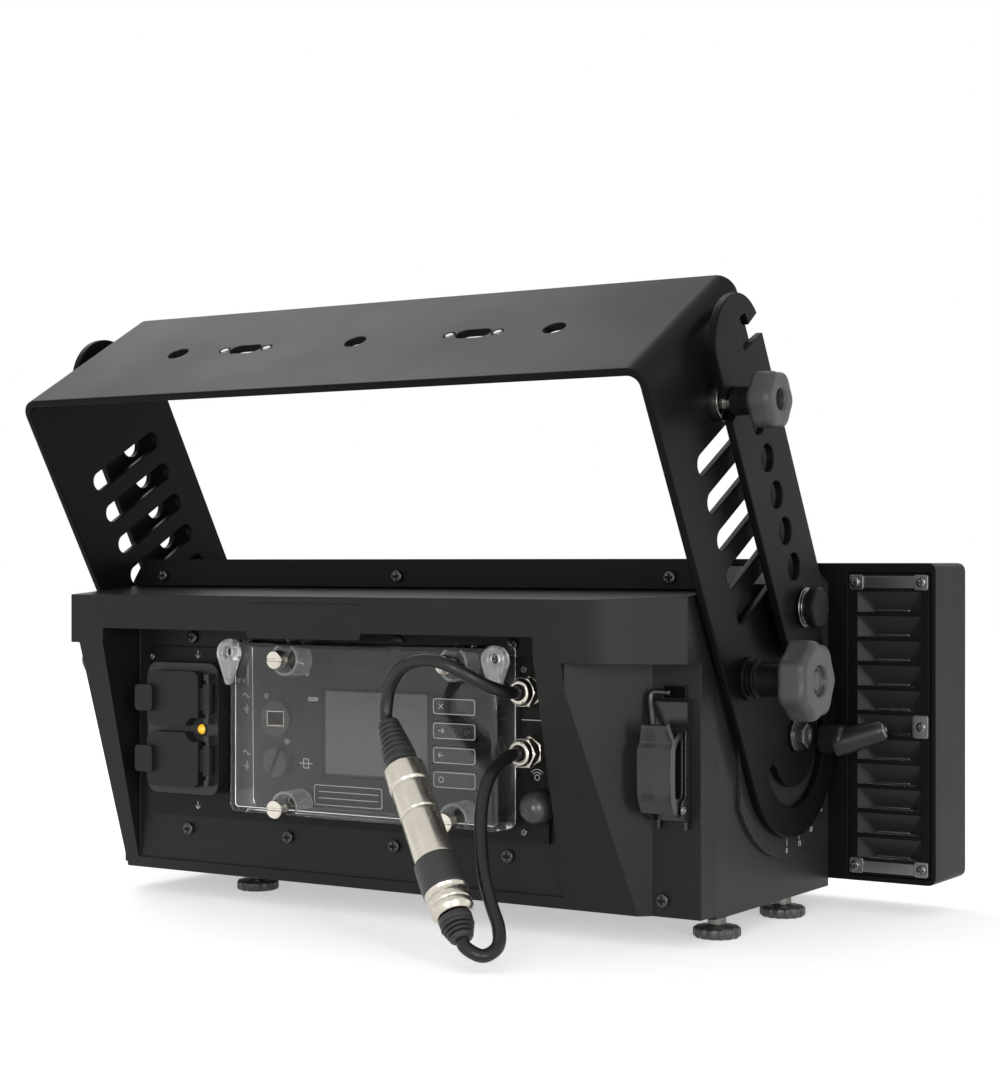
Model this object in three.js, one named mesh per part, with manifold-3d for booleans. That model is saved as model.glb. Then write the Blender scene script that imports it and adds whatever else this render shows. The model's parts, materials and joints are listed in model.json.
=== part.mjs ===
// Strobe light seen from its connection side, in millimetres, +Z up.
// The body stands on its feet at z = 0. The light leaves toward +Y.
// The connection panel faces -Y. The yoke leans back over the panel.
import * as THREE from 'three';
import Module from 'manifold-3d';

const wasm = await Module();
wasm.setup();

// Driving sizes: general
const seam = 0.4;
const over = 1;
const roundSides = 18;
const smallSides = 10;
const midY = 96.1;

// Driving sizes: chassis and lid
const bodyHalf = 182;
const bodyBottom = 12;
const bodyTop = 179.6;
const bodyBack = 51.9;
const bodyFront = 181.6;
const bodyWall = 2.5;
const cornerCutX = 8;
const cornerCutZ = 9;
const lidTop = 183;
const lidLow = 168.6;
const lidBack = 49;
const lidGauge = 2.5;
const reach = 2 * bodyHalf;

// Driving sizes: rear hood
const hoodProud = 1;
const hoodHalf = bodyHalf + hoodProud;
const hoodLow = 14;
const browLow = 138;
const browTop = 164;
const hoodTop = 168;
const hoodDeep = 51.4;
const rimFoot = 30;
const recessInset = 23;
const bayWide = 56;
const bayRamp = 30;
const recessEdge = 15;
const recessLeft = recessInset - hoodHalf;
const bayLeft = hoodHalf - bayWide;
const bayInner = bayLeft + bayRamp;
const recessRight = bayLeft - recessEdge;
const recessLow = 20;
const recessHigh = 146;
const floorY = 30;
const hoodWall = 3;
const bayFloor = 35;
const bayTop = 134;
const trimTop = 6;
const trimLow = 14;
const trimTopX = trimTop - hoodHalf;
const trimLowX = trimLow - hoodHalf;
const trimDeep = 43;

// Driving sizes: lamp head
const headOver = 59;
const headHalf = bodyHalf + headOver;
const headLow = 16;
const headTop = 181;
const headBack = 182;
const headFront = 224.8;
const headWall = 3;
const grilleInset = 11.6;
const grilleRim = 3.2;
const grilleLeft = bodyHalf + grilleInset;
const grilleRight = headHalf - grilleRim;
const grilleLow = 19.5;
const grilleHigh = 175.5;
const grilleSet = 2;
const slatCount = 11;
const slatPitch = 12.75;

// Driving sizes: tilt pivot and yoke, with distances along the arm and across it
const pivotY = 126;
const pivotZ = 95;
const leanDegShare = 30;
const plateGap = 0.3;
const plateGauge = 2;
const armGap = 0.7;
const yokeGauge = 4;
const plateIn = bodyHalf + plateGap;
const plateOut = plateIn + plateGauge;
const armIn = plateOut + armGap;
const armOut = armIn + yokeGauge;
const armHalf = 51.5;
const yokeTop = 228;
const yokeBend = 12;
const bossTall = 6;
const bossOut = armOut + bossTall;
const arcMid = 31;
const arcHalf = 5;
const slotBack = -21.5;
const slotFore = 26;
const knobAcross = 3;
const lockAlong = 53.5;
const lockAcross = -31.7;
const studAlong = 61.8;
const studAcross = 21;
const linkGap = 0.5;
const linkGauge = 4;
const linkIn = bossOut + linkGap;
const linkOut = linkIn + linkGauge;
const linkHalf = 25;
const linkDrop = 24.5;
const linkTop = yokeTop - linkDrop;
const knobDrop = 19.5;
const knobAlong = linkTop - knobDrop;
const slotTotal = 5;
const slotRise = 22.2;
const slotFall = 20;
const slotFirst = studAlong + slotRise;
const slotPitch = (knobAlong - slotFall - slotFirst) / (slotTotal - 1);
const slotHalfShare = 0.25;
const slotHalf = slotPitch * slotHalfShare;
const leverAngleShare = -7;

// Driving sizes: connection panel
const panelInset = 8;
const panelSet = 7.4;
const panelLeft = recessLeft + panelInset;
const panelRight = recessRight - panelSet;
const panelLow = 45;
const panelHigh = 135.6;
const panelFront = 27.6;
const panelBack = 29.6;
const socketIn = 33.5;
const socketX = panelLeft + socketIn;
const socketZs = [76.3, 108.9];
const flapPinOff = 20;
const flapPinX = socketX + flapPinOff;
const flapPinY = 14.5;
const glandInset = 8.6;
const capInset = 4.6;
const coverOff = 37.5;
const coverGap = 10;
const glandX = panelRight - glandInset;
const capX = panelRight - capInset;
const coverLeft = socketX + coverOff;
const coverRight = glandX - coverGap;
const acrossCover = (share) => coverLeft + share * (coverRight - coverLeft);
const coverLow = 51;
const coverHigh = 141.5;
const coverFront = 10;
const coverGauge = 2.4;
const thumbShares = [0.213, 0.838];
const thumbXs = thumbShares.map(acrossCover);
const thumbZs = [55, 131.4];
const thumbHead = 4.9;
const netShare = 0.108;
const netX = acrossCover(netShare);
const netZ = 99.5;
const fuseShare = 0.115;
const fuseX = acrossCover(fuseShare);
const fuseZ = 76.2;
const screenShares = [0.291, 0.693];
const [screenLeft, screenRight] = screenShares.map(acrossCover);
const screenLow = 70.6;
const screenHigh = 116.2;
const keyShares = [0.711, 0.868];
const [keyLeft, keyRight] = keyShares.map(acrossCover);
const keyHigh = 9;
const keyTotal = 4;
const keyTopZ = 109.8;
const keyPitch = 12.4;
const keyZs = Array.from({ length: keyTotal }, (unused, i) => keyTopZ - i * keyPitch);
const glandZs = [118.9, 89.6];
const capZ = 62.8;

// Driving sizes: corner latch
const latchInset = 22.1;
const latchWide = 18.2;
const latchLeft = hoodHalf - latchInset;
const latchRight = latchLeft + latchWide;
const latchLow = 58;
const latchHigh = 114.5;
const latchPinY = 27.5;
const latchPinZ = 66;
const bailPinY = 25;
const bailPinZ = 88;
const bailTop = 121.5;
const bailWire = 1.3;

// Driving sizes: feet and cords
const footInset = 10;
const footOffset = 70;
const footXs = [footOffset - bodyHalf, bodyHalf - footInset];
const footYs = [73, 147];
const footRadius = 11.7;
const footHigh = 5.6;
const cordRadius = 3.1;
const cordSides = 8;

// Colours and finishes, read from the photograph
const finishes = {
  coat: { color: 0x1d1d1c, roughness: 0.5, metalness: 0.1 },
  cast: { color: 0x1a1b1a, roughness: 0.62, metalness: 0.1 },
  panel: { color: 0x131312, roughness: 0.45, metalness: 0.1 },
  rubber: { color: 0x232526, roughness: 0.8, metalness: 0 },
  plastic: { color: 0x202220, roughness: 0.6, metalness: 0 },
  knob: { color: 0x353634, roughness: 0.7, metalness: 0 },
  nickel: { color: 0xb9b2a4, roughness: 0.3, metalness: 1 },
  steel: { color: 0x4a4a47, roughness: 0.38, metalness: 1 },
  clear: { color: 0xd6dadb, roughness: 0.08, metalness: 0 },
  screen: { color: 0x5b5853, roughness: 0.25, metalness: 0 },
  amber: { color: 0xe3a51e, roughness: 0.4, metalness: 0 },
  glass: { color: 0x2c3033, roughness: 0.06, metalness: 0 },
  board: { color: 0xcfcfc4, roughness: 0.5, metalness: 0 },
};

function solid(manifoldOrGeometry) {
  if (!manifoldOrGeometry.isBufferGeometry) {
    return manifoldOrGeometry;
  }
  const geometry = manifoldOrGeometry;
  const position = geometry.getAttribute('position');
  const index = geometry.getIndex();
  const count = index ? index.count : position.count;
  const found = new Map();
  const verts = [];
  const tris = [];
  const fine = 1e4;
  for (let i = 0; i < count; i += 1) {
    const at = index ? index.getX(i) : i;
    const p = [position.getX(at), position.getY(at), position.getZ(at)];
    const key = p.map((v) => Math.round(v * fine)).join();
    if (!found.has(key)) {
      found.set(key, verts.length / 3);
      verts.push(...p);
    }
    tris.push(found.get(key));
  }
  const kept = [];
  let volume = 0;
  for (let i = 0; i < tris.length; i += 3) {
    const [a, b, c] = [tris[i], tris[i + 1], tris[i + 2]];
    if (a === b || b === c || c === a) {
      continue;
    }
    kept.push(a, b, c);
    const [pa, pb, pc] = [a, b, c].map((k) => new THREE.Vector3().fromArray(verts, k * 3));
    volume += pa.dot(pb.cross(pc));
  }
  if (volume < 0) {
    for (let i = 0; i < kept.length; i += 3) {
      [kept[i], kept[i + 1]] = [kept[i + 1], kept[i]];
    }
  }
  const mesh = new wasm.Mesh({
    numProp: 3,
    vertProperties: new Float32Array(verts),
    triVerts: new Uint32Array(kept),
  });
  return new wasm.Manifold(mesh);
}

function toGeometry(body) {
  const mesh = body.getMesh();
  const out = [];
  for (const k of mesh.triVerts) {
    const at = k * mesh.numProp;
    out.push(mesh.vertProperties[at], mesh.vertProperties[at + 1], mesh.vertProperties[at + 2]);
  }
  const geometry = new THREE.BufferGeometry();
  geometry.setAttribute('position', new THREE.Float32BufferAttribute(out, 3));
  geometry.computeVertexNormals();
  return geometry;
}

function join(...parts) {
  return parts.map(solid).reduce((sum, part) => sum.add(part));
}

function cut(base, ...tools) {
  return tools.map(solid).reduce((left, tool) => left.subtract(tool), solid(base));
}

function box(x0, x1, y0, y1, z0, z1) {
  const geometry = new THREE.BoxGeometry(x1 - x0, y1 - y0, z1 - z0);
  geometry.translate((x0 + x1) / 2, (y0 + y1) / 2, (z0 + z1) / 2);
  return geometry;
}

function outline(points) {
  return new THREE.Shape(points.map(([u, v]) => new THREE.Vector2(u, v)));
}

// Side outlines hold (y, z) and run along x, rear outlines hold (x, z) and run along y,
// plan outlines hold (x, y) and run along z
const axesOf = {
  x: new THREE.Matrix4().makeBasis(
    new THREE.Vector3(0, 1, 0), new THREE.Vector3(0, 0, 1), new THREE.Vector3(1, 0, 0)),
  y: new THREE.Matrix4().makeBasis(
    new THREE.Vector3(1, 0, 0), new THREE.Vector3(0, 0, 1), new THREE.Vector3(0, -1, 0)),
  z: new THREE.Matrix4(),
};

function prism(axis, from, to, points, holes = []) {
  const shape = outline(points);
  for (const hole of holes) {
    shape.holes.push(new THREE.Path(hole.map(([u, v]) => new THREE.Vector2(u, v))));
  }
  const geometry = new THREE.ExtrudeGeometry(shape, { depth: to - from, bevelEnabled: false });
  geometry.applyMatrix4(axesOf[axis]);
  const start = { x: [from, 0, 0], y: [0, to, 0], z: [0, 0, from] }[axis];
  geometry.translate(...start);
  return geometry;
}

function ring(u, v, radius, sides = roundSides, turn = 0) {
  const points = [];
  for (let i = 0; i < sides; i += 1) {
    const angle = turn + (2 * Math.PI * i) / sides;
    points.push([u + radius * Math.cos(angle), v + radius * Math.sin(angle)]);
  }
  return points;
}

function rod(axis, from, to, u, v, radius, sides = roundSides, turn = 0) {
  return prism(axis, from, to, ring(u, v, radius, sides, turn));
}

function capsule(u0, v0, u1, v1, radius, steps = 4) {
  const heading = Math.atan2(v1 - v0, u1 - u0);
  const points = [];
  for (let i = 0; i <= steps; i += 1) {
    const angle = heading - Math.PI / 2 + (Math.PI * i) / steps;
    points.push([u1 + radius * Math.cos(angle), v1 + radius * Math.sin(angle)]);
  }
  for (let i = 0; i <= steps; i += 1) {
    const angle = heading + Math.PI / 2 + (Math.PI * i) / steps;
    points.push([u0 + radius * Math.cos(angle), v0 + radius * Math.sin(angle)]);
  }
  return points;
}

function roundRect(u0, u1, v0, v1, radius, steps = 3) {
  const points = [];
  const corners = [[u1 - radius, v0 + radius], [u1 - radius, v1 - radius],
    [u0 + radius, v1 - radius], [u0 + radius, v0 + radius]];
  corners.forEach(([u, v], n) => {
    for (let i = 0; i <= steps; i += 1) {
      const angle = (Math.PI / 2) * (n - 1 + i / steps);
      points.push([u + radius * Math.cos(angle), v + radius * Math.sin(angle)]);
    }
  });
  return points;
}

// Turned piece: profile of (radius, distance) pairs that starts and ends on the axis
function turned(profile, origin, direction, sides = roundSides) {
  const geometry = new THREE.LatheGeometry(
    profile.map(([r, h]) => new THREE.Vector2(r, h)), sides);
  const turn = new THREE.Quaternion().setFromUnitVectors(
    new THREE.Vector3(0, 1, 0), direction.clone().normalize());
  geometry.applyQuaternion(turn);
  geometry.translate(origin.x, origin.y, origin.z);
  return geometry;
}

function mirrored(body) {
  const geometry = toGeometry(solid(body));
  geometry.scale(-1, 1, 1);
  return solid(geometry);
}

const root = new THREE.Group();
root.name = 'strobe_light';
root.position.y = -midY;

function group(name, parent = root) {
  const made = new THREE.Group();
  made.name = name;
  parent.add(made);
  return made;
}

function place(name, body, finish, parent) {
  const material = new THREE.MeshStandardMaterial(finishes[finish]);
  const mesh = new THREE.Mesh(toGeometry(solid(body)), material);
  mesh.name = name;
  parent.add(mesh);
  return mesh;
}

// Points on the leaning yoke, given along the arm and across it
const lean = (leanDegShare * Math.PI) / 180;
function onArm(along, across) {
  return [
    pivotY - along * Math.sin(lean) + across * Math.cos(lean),
    pivotZ + along * Math.cos(lean) + across * Math.sin(lean),
  ];
}
const armShape = (points) => points.map(([along, across]) => onArm(along, across));
const armRing = (along, across, radius, sides) => ring(...onArm(along, across), radius, sides);

const body = group('body');
const rear = group('rear_panel');
const head = group('head');
const stand = group('yoke_group');
const cords = group('cord_set');

// Chassis: a folded sleeve with cut top corners, open toward the hood and the head
const boltRadius = 5;
const leverStud = 3.5;
const leverY = pivotY + arcMid * Math.cos((leverAngleShare * Math.PI) / 180);
const leverZ = pivotZ + arcMid * Math.sin((leverAngleShare * Math.PI) / 180);
const sleeve = (inset) => [
  [-bodyHalf + inset, bodyBottom + inset],
  [bodyHalf - inset, bodyBottom + inset],
  [bodyHalf - inset, bodyTop - cornerCutZ],
  [bodyHalf - cornerCutX, bodyTop - inset],
  [-bodyHalf + cornerCutX, bodyTop - inset],
  [-bodyHalf + inset, bodyTop - cornerCutZ],
];
const footStud = 3;
let chassis = cut(
  prism('y', bodyBack, bodyFront, sleeve(0)),
  prism('y', bodyBack - over, bodyFront + over, sleeve(bodyWall)),
  rod('x', -reach, reach, pivotY, pivotZ, boltRadius + seam),
  rod('x', -reach, reach, leverY, leverZ, leverStud + seam, smallSides),
);
for (const x of footXs) {
  for (const y of footYs) {
    chassis = cut(chassis, rod('z', 0, bodyBottom + 2 * bodyWall, x, y, footStud + seam, smallSides));
  }
}
place('main_chassis', chassis, 'coat', body);

// Lid: top sheet with a rear flange and three button head screws
const lidScrewInset = 22.5;
const lidScrewXs = [lidScrewInset - bodyHalf, 0, bodyHalf - lidScrewInset];
const screwHead = 3;
const screwProud = 1.4;
const lidEdge = [
  [-bodyHalf, lidLow],
  [bodyHalf, lidLow],
  [bodyHalf, bodyTop - cornerCutZ + seam],
  [bodyHalf - cornerCutX, lidTop],
  [-bodyHalf + cornerCutX, lidTop],
  [-bodyHalf, bodyTop - cornerCutZ + seam],
];
const lidScrewZ = 174;
let lid = join(
  prism('y', lidBack, lidBack + lidGauge, lidEdge),
  box(-bodyHalf + cornerCutX, bodyHalf - cornerCutX, lidBack, bodyFront,
    bodyTop + seam, lidTop),
);
for (const x of lidScrewXs) {
  lid = join(lid, rod('y', lidBack - screwProud, lidBack + over, x, lidScrewZ, screwHead, smallSides));
}
place('top_lid', lid, 'coat', body);

// Rear hood: leaning rim around a deep recess, with a wedge bay at one corner
const browTurn = 45;
const browMid = 32;
const browLate = 23;
const browTurnX = hoodHalf - browTurn;
const browMidX = hoodHalf - browMid;
const browMidY = 3;
const browLateX = hoodHalf - browLate;
const browLateY = 8;
const browEndY = 21.5;
const bayEdge = 4;
const windowInset = 13;
const windowSet = 9;
const windowLeft = recessLeft + windowInset;
const windowRight = recessRight - windowSet;
const windowLow = 49;
const windowHigh = 131;
const hoodSide = [[0, browLow], [rimFoot, hoodLow], [hoodDeep, hoodLow], [hoodDeep, hoodTop],
  [0, browTop]];
const browPlan = [[browTurnX, 0], [browMidX, browMidY], [browLateX, browLateY],
  [hoodHalf, browEndY], [hoodHalf + over, browEndY], [hoodHalf + over, -over],
  [browTurnX, -over]];
const bayPlan = [[bayLeft, -over], [bayLeft, bayEdge], [bayInner, bayFloor],
  [hoodHalf + over, bayFloor], [hoodHalf + over, -over]];
const leftTrim = [[-hoodHalf - over, browLow], [trimTopX, browLow],
  [trimLowX, hoodLow - over], [-hoodHalf - over, hoodLow - over]];
let hood = cut(
  prism('x', -hoodHalf, hoodHalf, hoodSide),
  prism('z', 0, reach, browPlan),
  prism('z', 0, bayTop, bayPlan),
  prism('y', -over, trimDeep, leftTrim),
  box(recessLeft, recessRight, -over, floorY, recessLow, recessHigh),
  box(trimLowX + hoodWall, bayLeft - hoodWall, floorY + hoodWall, hoodDeep + over,
    hoodLow + hoodWall, browTop - hoodWall),
  box(bayLeft - 2 * hoodWall, hoodHalf - hoodWall, bayFloor + hoodWall, hoodDeep + over,
    hoodLow + hoodWall, browTop - hoodWall),
  box(windowLeft, windowRight, floorY - over, floorY + hoodWall + over, windowLow, windowHigh),
);
const plaqueHalf = 36;
const plaqueX = (recessLeft + recessRight) / 2;
const plaqueLeft = plaqueX - plaqueHalf;
const plaqueRight = plaqueX + plaqueHalf;
const plaqueLow = 142.5;
const plaqueHigh = 160.5;
const plaqueProud = 0.7;
const plaqueRound = 2.1;
hood = join(hood, prism('y', -plaqueProud, over,
  roundRect(plaqueLeft, plaqueRight, plaqueLow, plaqueHigh, plaqueRound)));
const upperScrewShares = [0.1415, 0.639, 0.8915];
const upperScrewZ = 141;
const lowerScrewTotal = 4;
const lowerScrewInset = 35.5;
const lowerScrewSet = 32.1;
const lowerScrewFirst = recessLeft + lowerScrewInset;
const lowerScrewSpan = recessRight - lowerScrewSet - lowerScrewFirst;
const lowerScrewZ = 37.4;
const hoodScrews = upperScrewShares.map((share) => [
  recessLeft + share * (recessRight - recessLeft), upperScrewZ]);
for (let i = 0; i < lowerScrewTotal; i += 1) {
  hoodScrews.push([lowerScrewFirst + (i * lowerScrewSpan) / (lowerScrewTotal - 1), lowerScrewZ]);
}
for (const [x, z] of hoodScrews) {
  hood = join(hood, rod('y', floorY - screwProud, floorY + over, x, z, screwHead, smallSides));
}
const bayScrewOff = 6;
const bayScrewX = bayInner + bayScrewOff;
const bayScrewZ = 22;
hood = join(hood, rod('y', bayFloor - screwProud, bayFloor + over, bayScrewX, bayScrewZ,
  screwHead, smallSides));
place('rear_hood', hood, 'cast', body);

// Lamp head: deep frame, open at the front, with a louvred window on each overhang
const headRound = 4;
const rimStep = 3.4;
let housing = cut(
  prism('y', headBack, headFront, roundRect(-headHalf, headHalf, headLow, headTop, headRound)),
  box(-headHalf + headWall, headHalf - headWall, headBack + headWall + grilleSet + over,
    headFront + over, headLow + headWall, headTop - headWall),
);
for (const side of [-1, 1]) {
  const [x0, x1] = side > 0 ? [grilleLeft, grilleRight] : [-grilleRight, -grilleLeft];
  housing = cut(
    housing,
    box(x0 - seam, x1 + seam, headBack - over, headBack + grilleSet + seam,
      grilleLow - seam, grilleHigh + seam),
    box(x0 + rimStep, x1 - rimStep, headBack, headBack + 3 * headWall,
      grilleLow + rimStep, grilleHigh - rimStep),
  );
}
place('head_housing', housing, 'coat', head);

// Louvred grilles: a thin frame with sloping slats that meet its sides
const grilleSides = { left: -1, right: 1 };
const slatTop = 164.8;
const slatDrop = 9.6;
const slatDepth = 8.6;
const slatGauge = 1.1;
const grilleEdge = 5;
const grilleBase = 12.2;
for (const [label, side] of Object.entries(grilleSides)) {
  let grille = cut(
    box(grilleLeft, grilleRight, headBack, headBack + grilleSet, grilleLow, grilleHigh),
    box(grilleLeft + grilleEdge, grilleRight - grilleEdge, headBack - over, headBack + grilleSet + over,
      grilleLow + grilleBase, grilleHigh - grilleEdge),
  );
  for (let i = 0; i < slatCount; i += 1) {
    const z = slatTop - i * slatPitch;
    grille = join(grille, prism('x', grilleLeft + grilleEdge - over, grilleRight - grilleEdge + over, [
      [headBack, z],
      [headBack + slatDepth, z - slatDrop],
      [headBack + slatDepth, z - slatDrop + slatGauge],
      [headBack + grilleSet, z + slatGauge],
      [headBack, z + slatGauge],
    ]));
  }
  const screwIn = 2.4;
  for (const x of [grilleLeft + screwIn, grilleRight - screwIn]) {
    for (const z of [grilleLow + screwIn + over, grilleHigh - screwIn]) {
      grille = join(grille, rod('y', headBack - over, headBack + over, x, z, screwIn - seam, smallSides));
    }
  }
  place(`rear_grille_${label}`, side > 0 ? grille : mirrored(grille), 'coat', head);
}

// Light source: emitter board behind a cell grid, closed by the front window
const boardBack = 196;
const boardGauge = 2;
const cellFront = 219.4;
const cellBack = 199;
const cellCols = 10;
const cellRows = 4;
const innerHalf = headHalf - headWall - seam;
const innerLow = headLow + headWall + seam;
const innerHigh = headTop - headWall - seam;
const emitterHalf = 6;
const cellWide = (2 * innerHalf) / cellCols;
const cellTall = (innerHigh - innerLow) / cellRows;
let board = solid(box(-innerHalf, innerHalf, boardBack, boardBack + boardGauge, innerLow, innerHigh));
const cells = [];
for (let i = 0; i < cellCols; i += 1) {
  for (let j = 0; j < cellRows; j += 1) {
    const x = -innerHalf + (i + 0.5) * cellWide;
    const z = innerLow + (j + 0.5) * cellTall;
    board = board.add(solid(box(x - emitterHalf, x + emitterHalf, boardBack + boardGauge - seam,
      boardBack + 2 * boardGauge, z - emitterHalf, z + emitterHalf)));
    cells.push(box(x - cellWide / 2 + over, x + cellWide / 2 - over, cellBack - over,
      cellFront + over, z - cellTall / 2 + over, z + cellTall / 2 - over));
  }
}
place('emitter_board', board, 'board', head);
const cellBlock = box(-innerHalf, innerHalf, cellBack, cellFront, innerLow, innerHigh);
place('reflector_grid', cut(cellBlock, ...cells), 'nickel', head);
const windowBack = 219.8;
const windowFront = 223.4;
place('front_window', prism('y', windowBack, windowFront,
  roundRect(-innerHalf, innerHalf, innerLow, innerHigh, over)), 'glass', head);

// Yoke: one bent sheet, arms with five cross slots, an arc slot about the pivot, two bosses
// and a welded stud for the link knob
const bendSteps = 4;
const arcStartDegShare = 207;
const arcEndDegShare = 392;
const arcSteps = 12;
const boltHole = 5.6;
const bossRadius = 9;
const stemRadius = 4;
const studRadius = 4.5;
const weldStudLong = 21;
const weldStudEnd = bossOut + weldStudLong;
function arcSlot() {
  const points = [];
  const start = (arcStartDegShare * Math.PI) / 180;
  const span = ((arcEndDegShare - arcStartDegShare) * Math.PI) / 180;
  for (let i = 0; i <= arcSteps; i += 1) {
    const angle = start + (span * i) / arcSteps;
    points.push([pivotY + (arcMid + arcHalf) * Math.cos(angle),
      pivotZ + (arcMid + arcHalf) * Math.sin(angle)]);
  }
  for (let i = arcSteps; i >= 0; i -= 1) {
    const angle = start + (span * i) / arcSteps;
    points.push([pivotY + (arcMid - arcHalf) * Math.cos(angle),
      pivotZ + (arcMid - arcHalf) * Math.sin(angle)]);
  }
  return points;
}
const armOutline = [[yokeTop - yokeBend, armHalf], [yokeTop - yokeBend, -armHalf]];
const tipSteps = 18;
for (let i = 0; i <= tipSteps; i += 1) {
  const angle = Math.PI * (1 + i / tipSteps);
  armOutline.push([armHalf * Math.sin(angle), armHalf * Math.cos(angle)]);
}
const armSlots = [];
for (let i = 0; i < slotTotal; i += 1) {
  const along = slotFirst + i * slotPitch;
  armSlots.push(armShape(capsule(along, slotBack, along, slotFore, slotHalf)));
}
let arm = cut(
  join(
    prism('x', armIn, armOut, armShape(armOutline), [
      ...armSlots, arcSlot(), ring(pivotY, pivotZ, boltHole),
    ]),
    prism('x', armOut - over, bossOut, armRing(knobAlong, knobAcross, bossRadius)),
    prism('x', armOut - over, weldStudEnd, armRing(knobAlong, knobAcross, stemRadius, smallSides)),
    prism('x', armOut - over, bossOut, armRing(studAlong, studAcross, bossRadius)),
  ),
  prism('x', armIn - over, bossOut + over, armRing(studAlong, studAcross, studRadius + seam)),
  prism('x', armIn - over, armOut + over, armRing(lockAlong, lockAcross, stemRadius + seam)),
);
const bendSection = [[0, yokeTop], [0, yokeTop - yokeGauge]];
for (let i = 0; i <= bendSteps; i += 1) {
  const angle = (Math.PI / 2) * (1 - i / bendSteps);
  const inner = yokeBend - yokeGauge;
  bendSection.push([armOut - yokeBend + inner * Math.cos(angle),
    yokeTop - yokeBend + inner * Math.sin(angle)]);
}
bendSection.push([armIn, yokeTop - yokeBend - over], [armOut, yokeTop - yokeBend - over]);
for (let i = bendSteps; i >= 0; i -= 1) {
  const angle = (Math.PI / 2) * (1 - i / bendSteps);
  bendSection.push([armOut - yokeBend + yokeBend * Math.cos(angle),
    yokeTop - yokeBend + yokeBend * Math.sin(angle)]);
}
// The bend section holds (x, along) and runs across the arm, then leans with it
const bendGeometry = prism('y', -armHalf, armHalf, bendSection);
bendGeometry.rotateX(lean);
bendGeometry.translate(0, pivotY, pivotZ);
arm = join(arm, bendGeometry);
const boltXs = [-117, 0, 117];
const boltSlotHalf = 5.6;
const camXs = [-71, 71];
const camRadius = 4.6;
const camPinOff = 14;
const camPinRadius = 3;
const camLong = 5;
const topTools = [];
const lowDrill = yokeTop - yokeGauge - over;
const highDrill = yokeTop + over;
for (const x of boltXs) {
  topTools.push(prism('z', lowDrill, highDrill, ring(x, 0, boltSlotHalf, smallSides)));
}
for (const x of camXs) {
  topTools.push(prism('z', lowDrill, highDrill, capsule(x - camLong, 0, x + camLong, 0, camRadius, 4)));
  for (const side of [-1, 1]) {
    topTools.push(prism('z', lowDrill, highDrill, ring(x + side * camPinOff, 0, camPinRadius, smallSides)));
  }
}
for (const tool of topTools) {
  tool.rotateX(lean);
  tool.translate(0, pivotY, pivotZ);
}
place('yoke_bracket', cut(join(arm, mirrored(arm)), ...topTools), 'coat', stand);

// Lobed hand knob along x: collar and a chamfered grip, with a stem and a dimple or a blind bore
const knobChamfer = 1.6;
const knobWaistShare = 0.1;
const knobDimpleShare = 0.3;
const perLobe = 4;
function knob(along, across, shape) {
  const { stemFrom, boreTo, collarFrom, collarRadius, gripFrom, gripTo, gripRadius, lobes } = shape;
  const [y, z] = onArm(along, across);
  const grip = [];
  for (let i = 0; i < lobes * perLobe; i += 1) {
    const angle = (2 * Math.PI * i) / (lobes * perLobe);
    const wave = 1 - (knobWaistShare / 2) * (1 - Math.cos(angle * lobes));
    grip.push([y + gripRadius * wave * Math.cos(angle), z + gripRadius * wave * Math.sin(angle)]);
  }
  const shrink = 1 - knobChamfer / gripRadius;
  const ends = grip.map(([v, w]) => [y + (v - y) * shrink, z + (w - z) * shrink]);
  const whole = cut(
    join(
      rod('x', collarFrom, gripFrom + over, y, z, collarRadius, roundSides),
      prism('x', gripFrom + knobChamfer, gripTo - knobChamfer, grip),
      prism('x', gripFrom, gripTo, ends),
    ),
    rod('x', gripTo - 2 * knobChamfer, gripTo + over, y, z, gripRadius * knobDimpleShare,
      smallSides),
  );
  if (boreTo) {
    return cut(whole, rod('x', 0, boreTo, y, z, stemRadius + seam, smallSides));
  }
  return join(whole, rod('x', stemFrom, gripFrom + over, y, z, stemRadius, smallSides));
}

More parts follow.
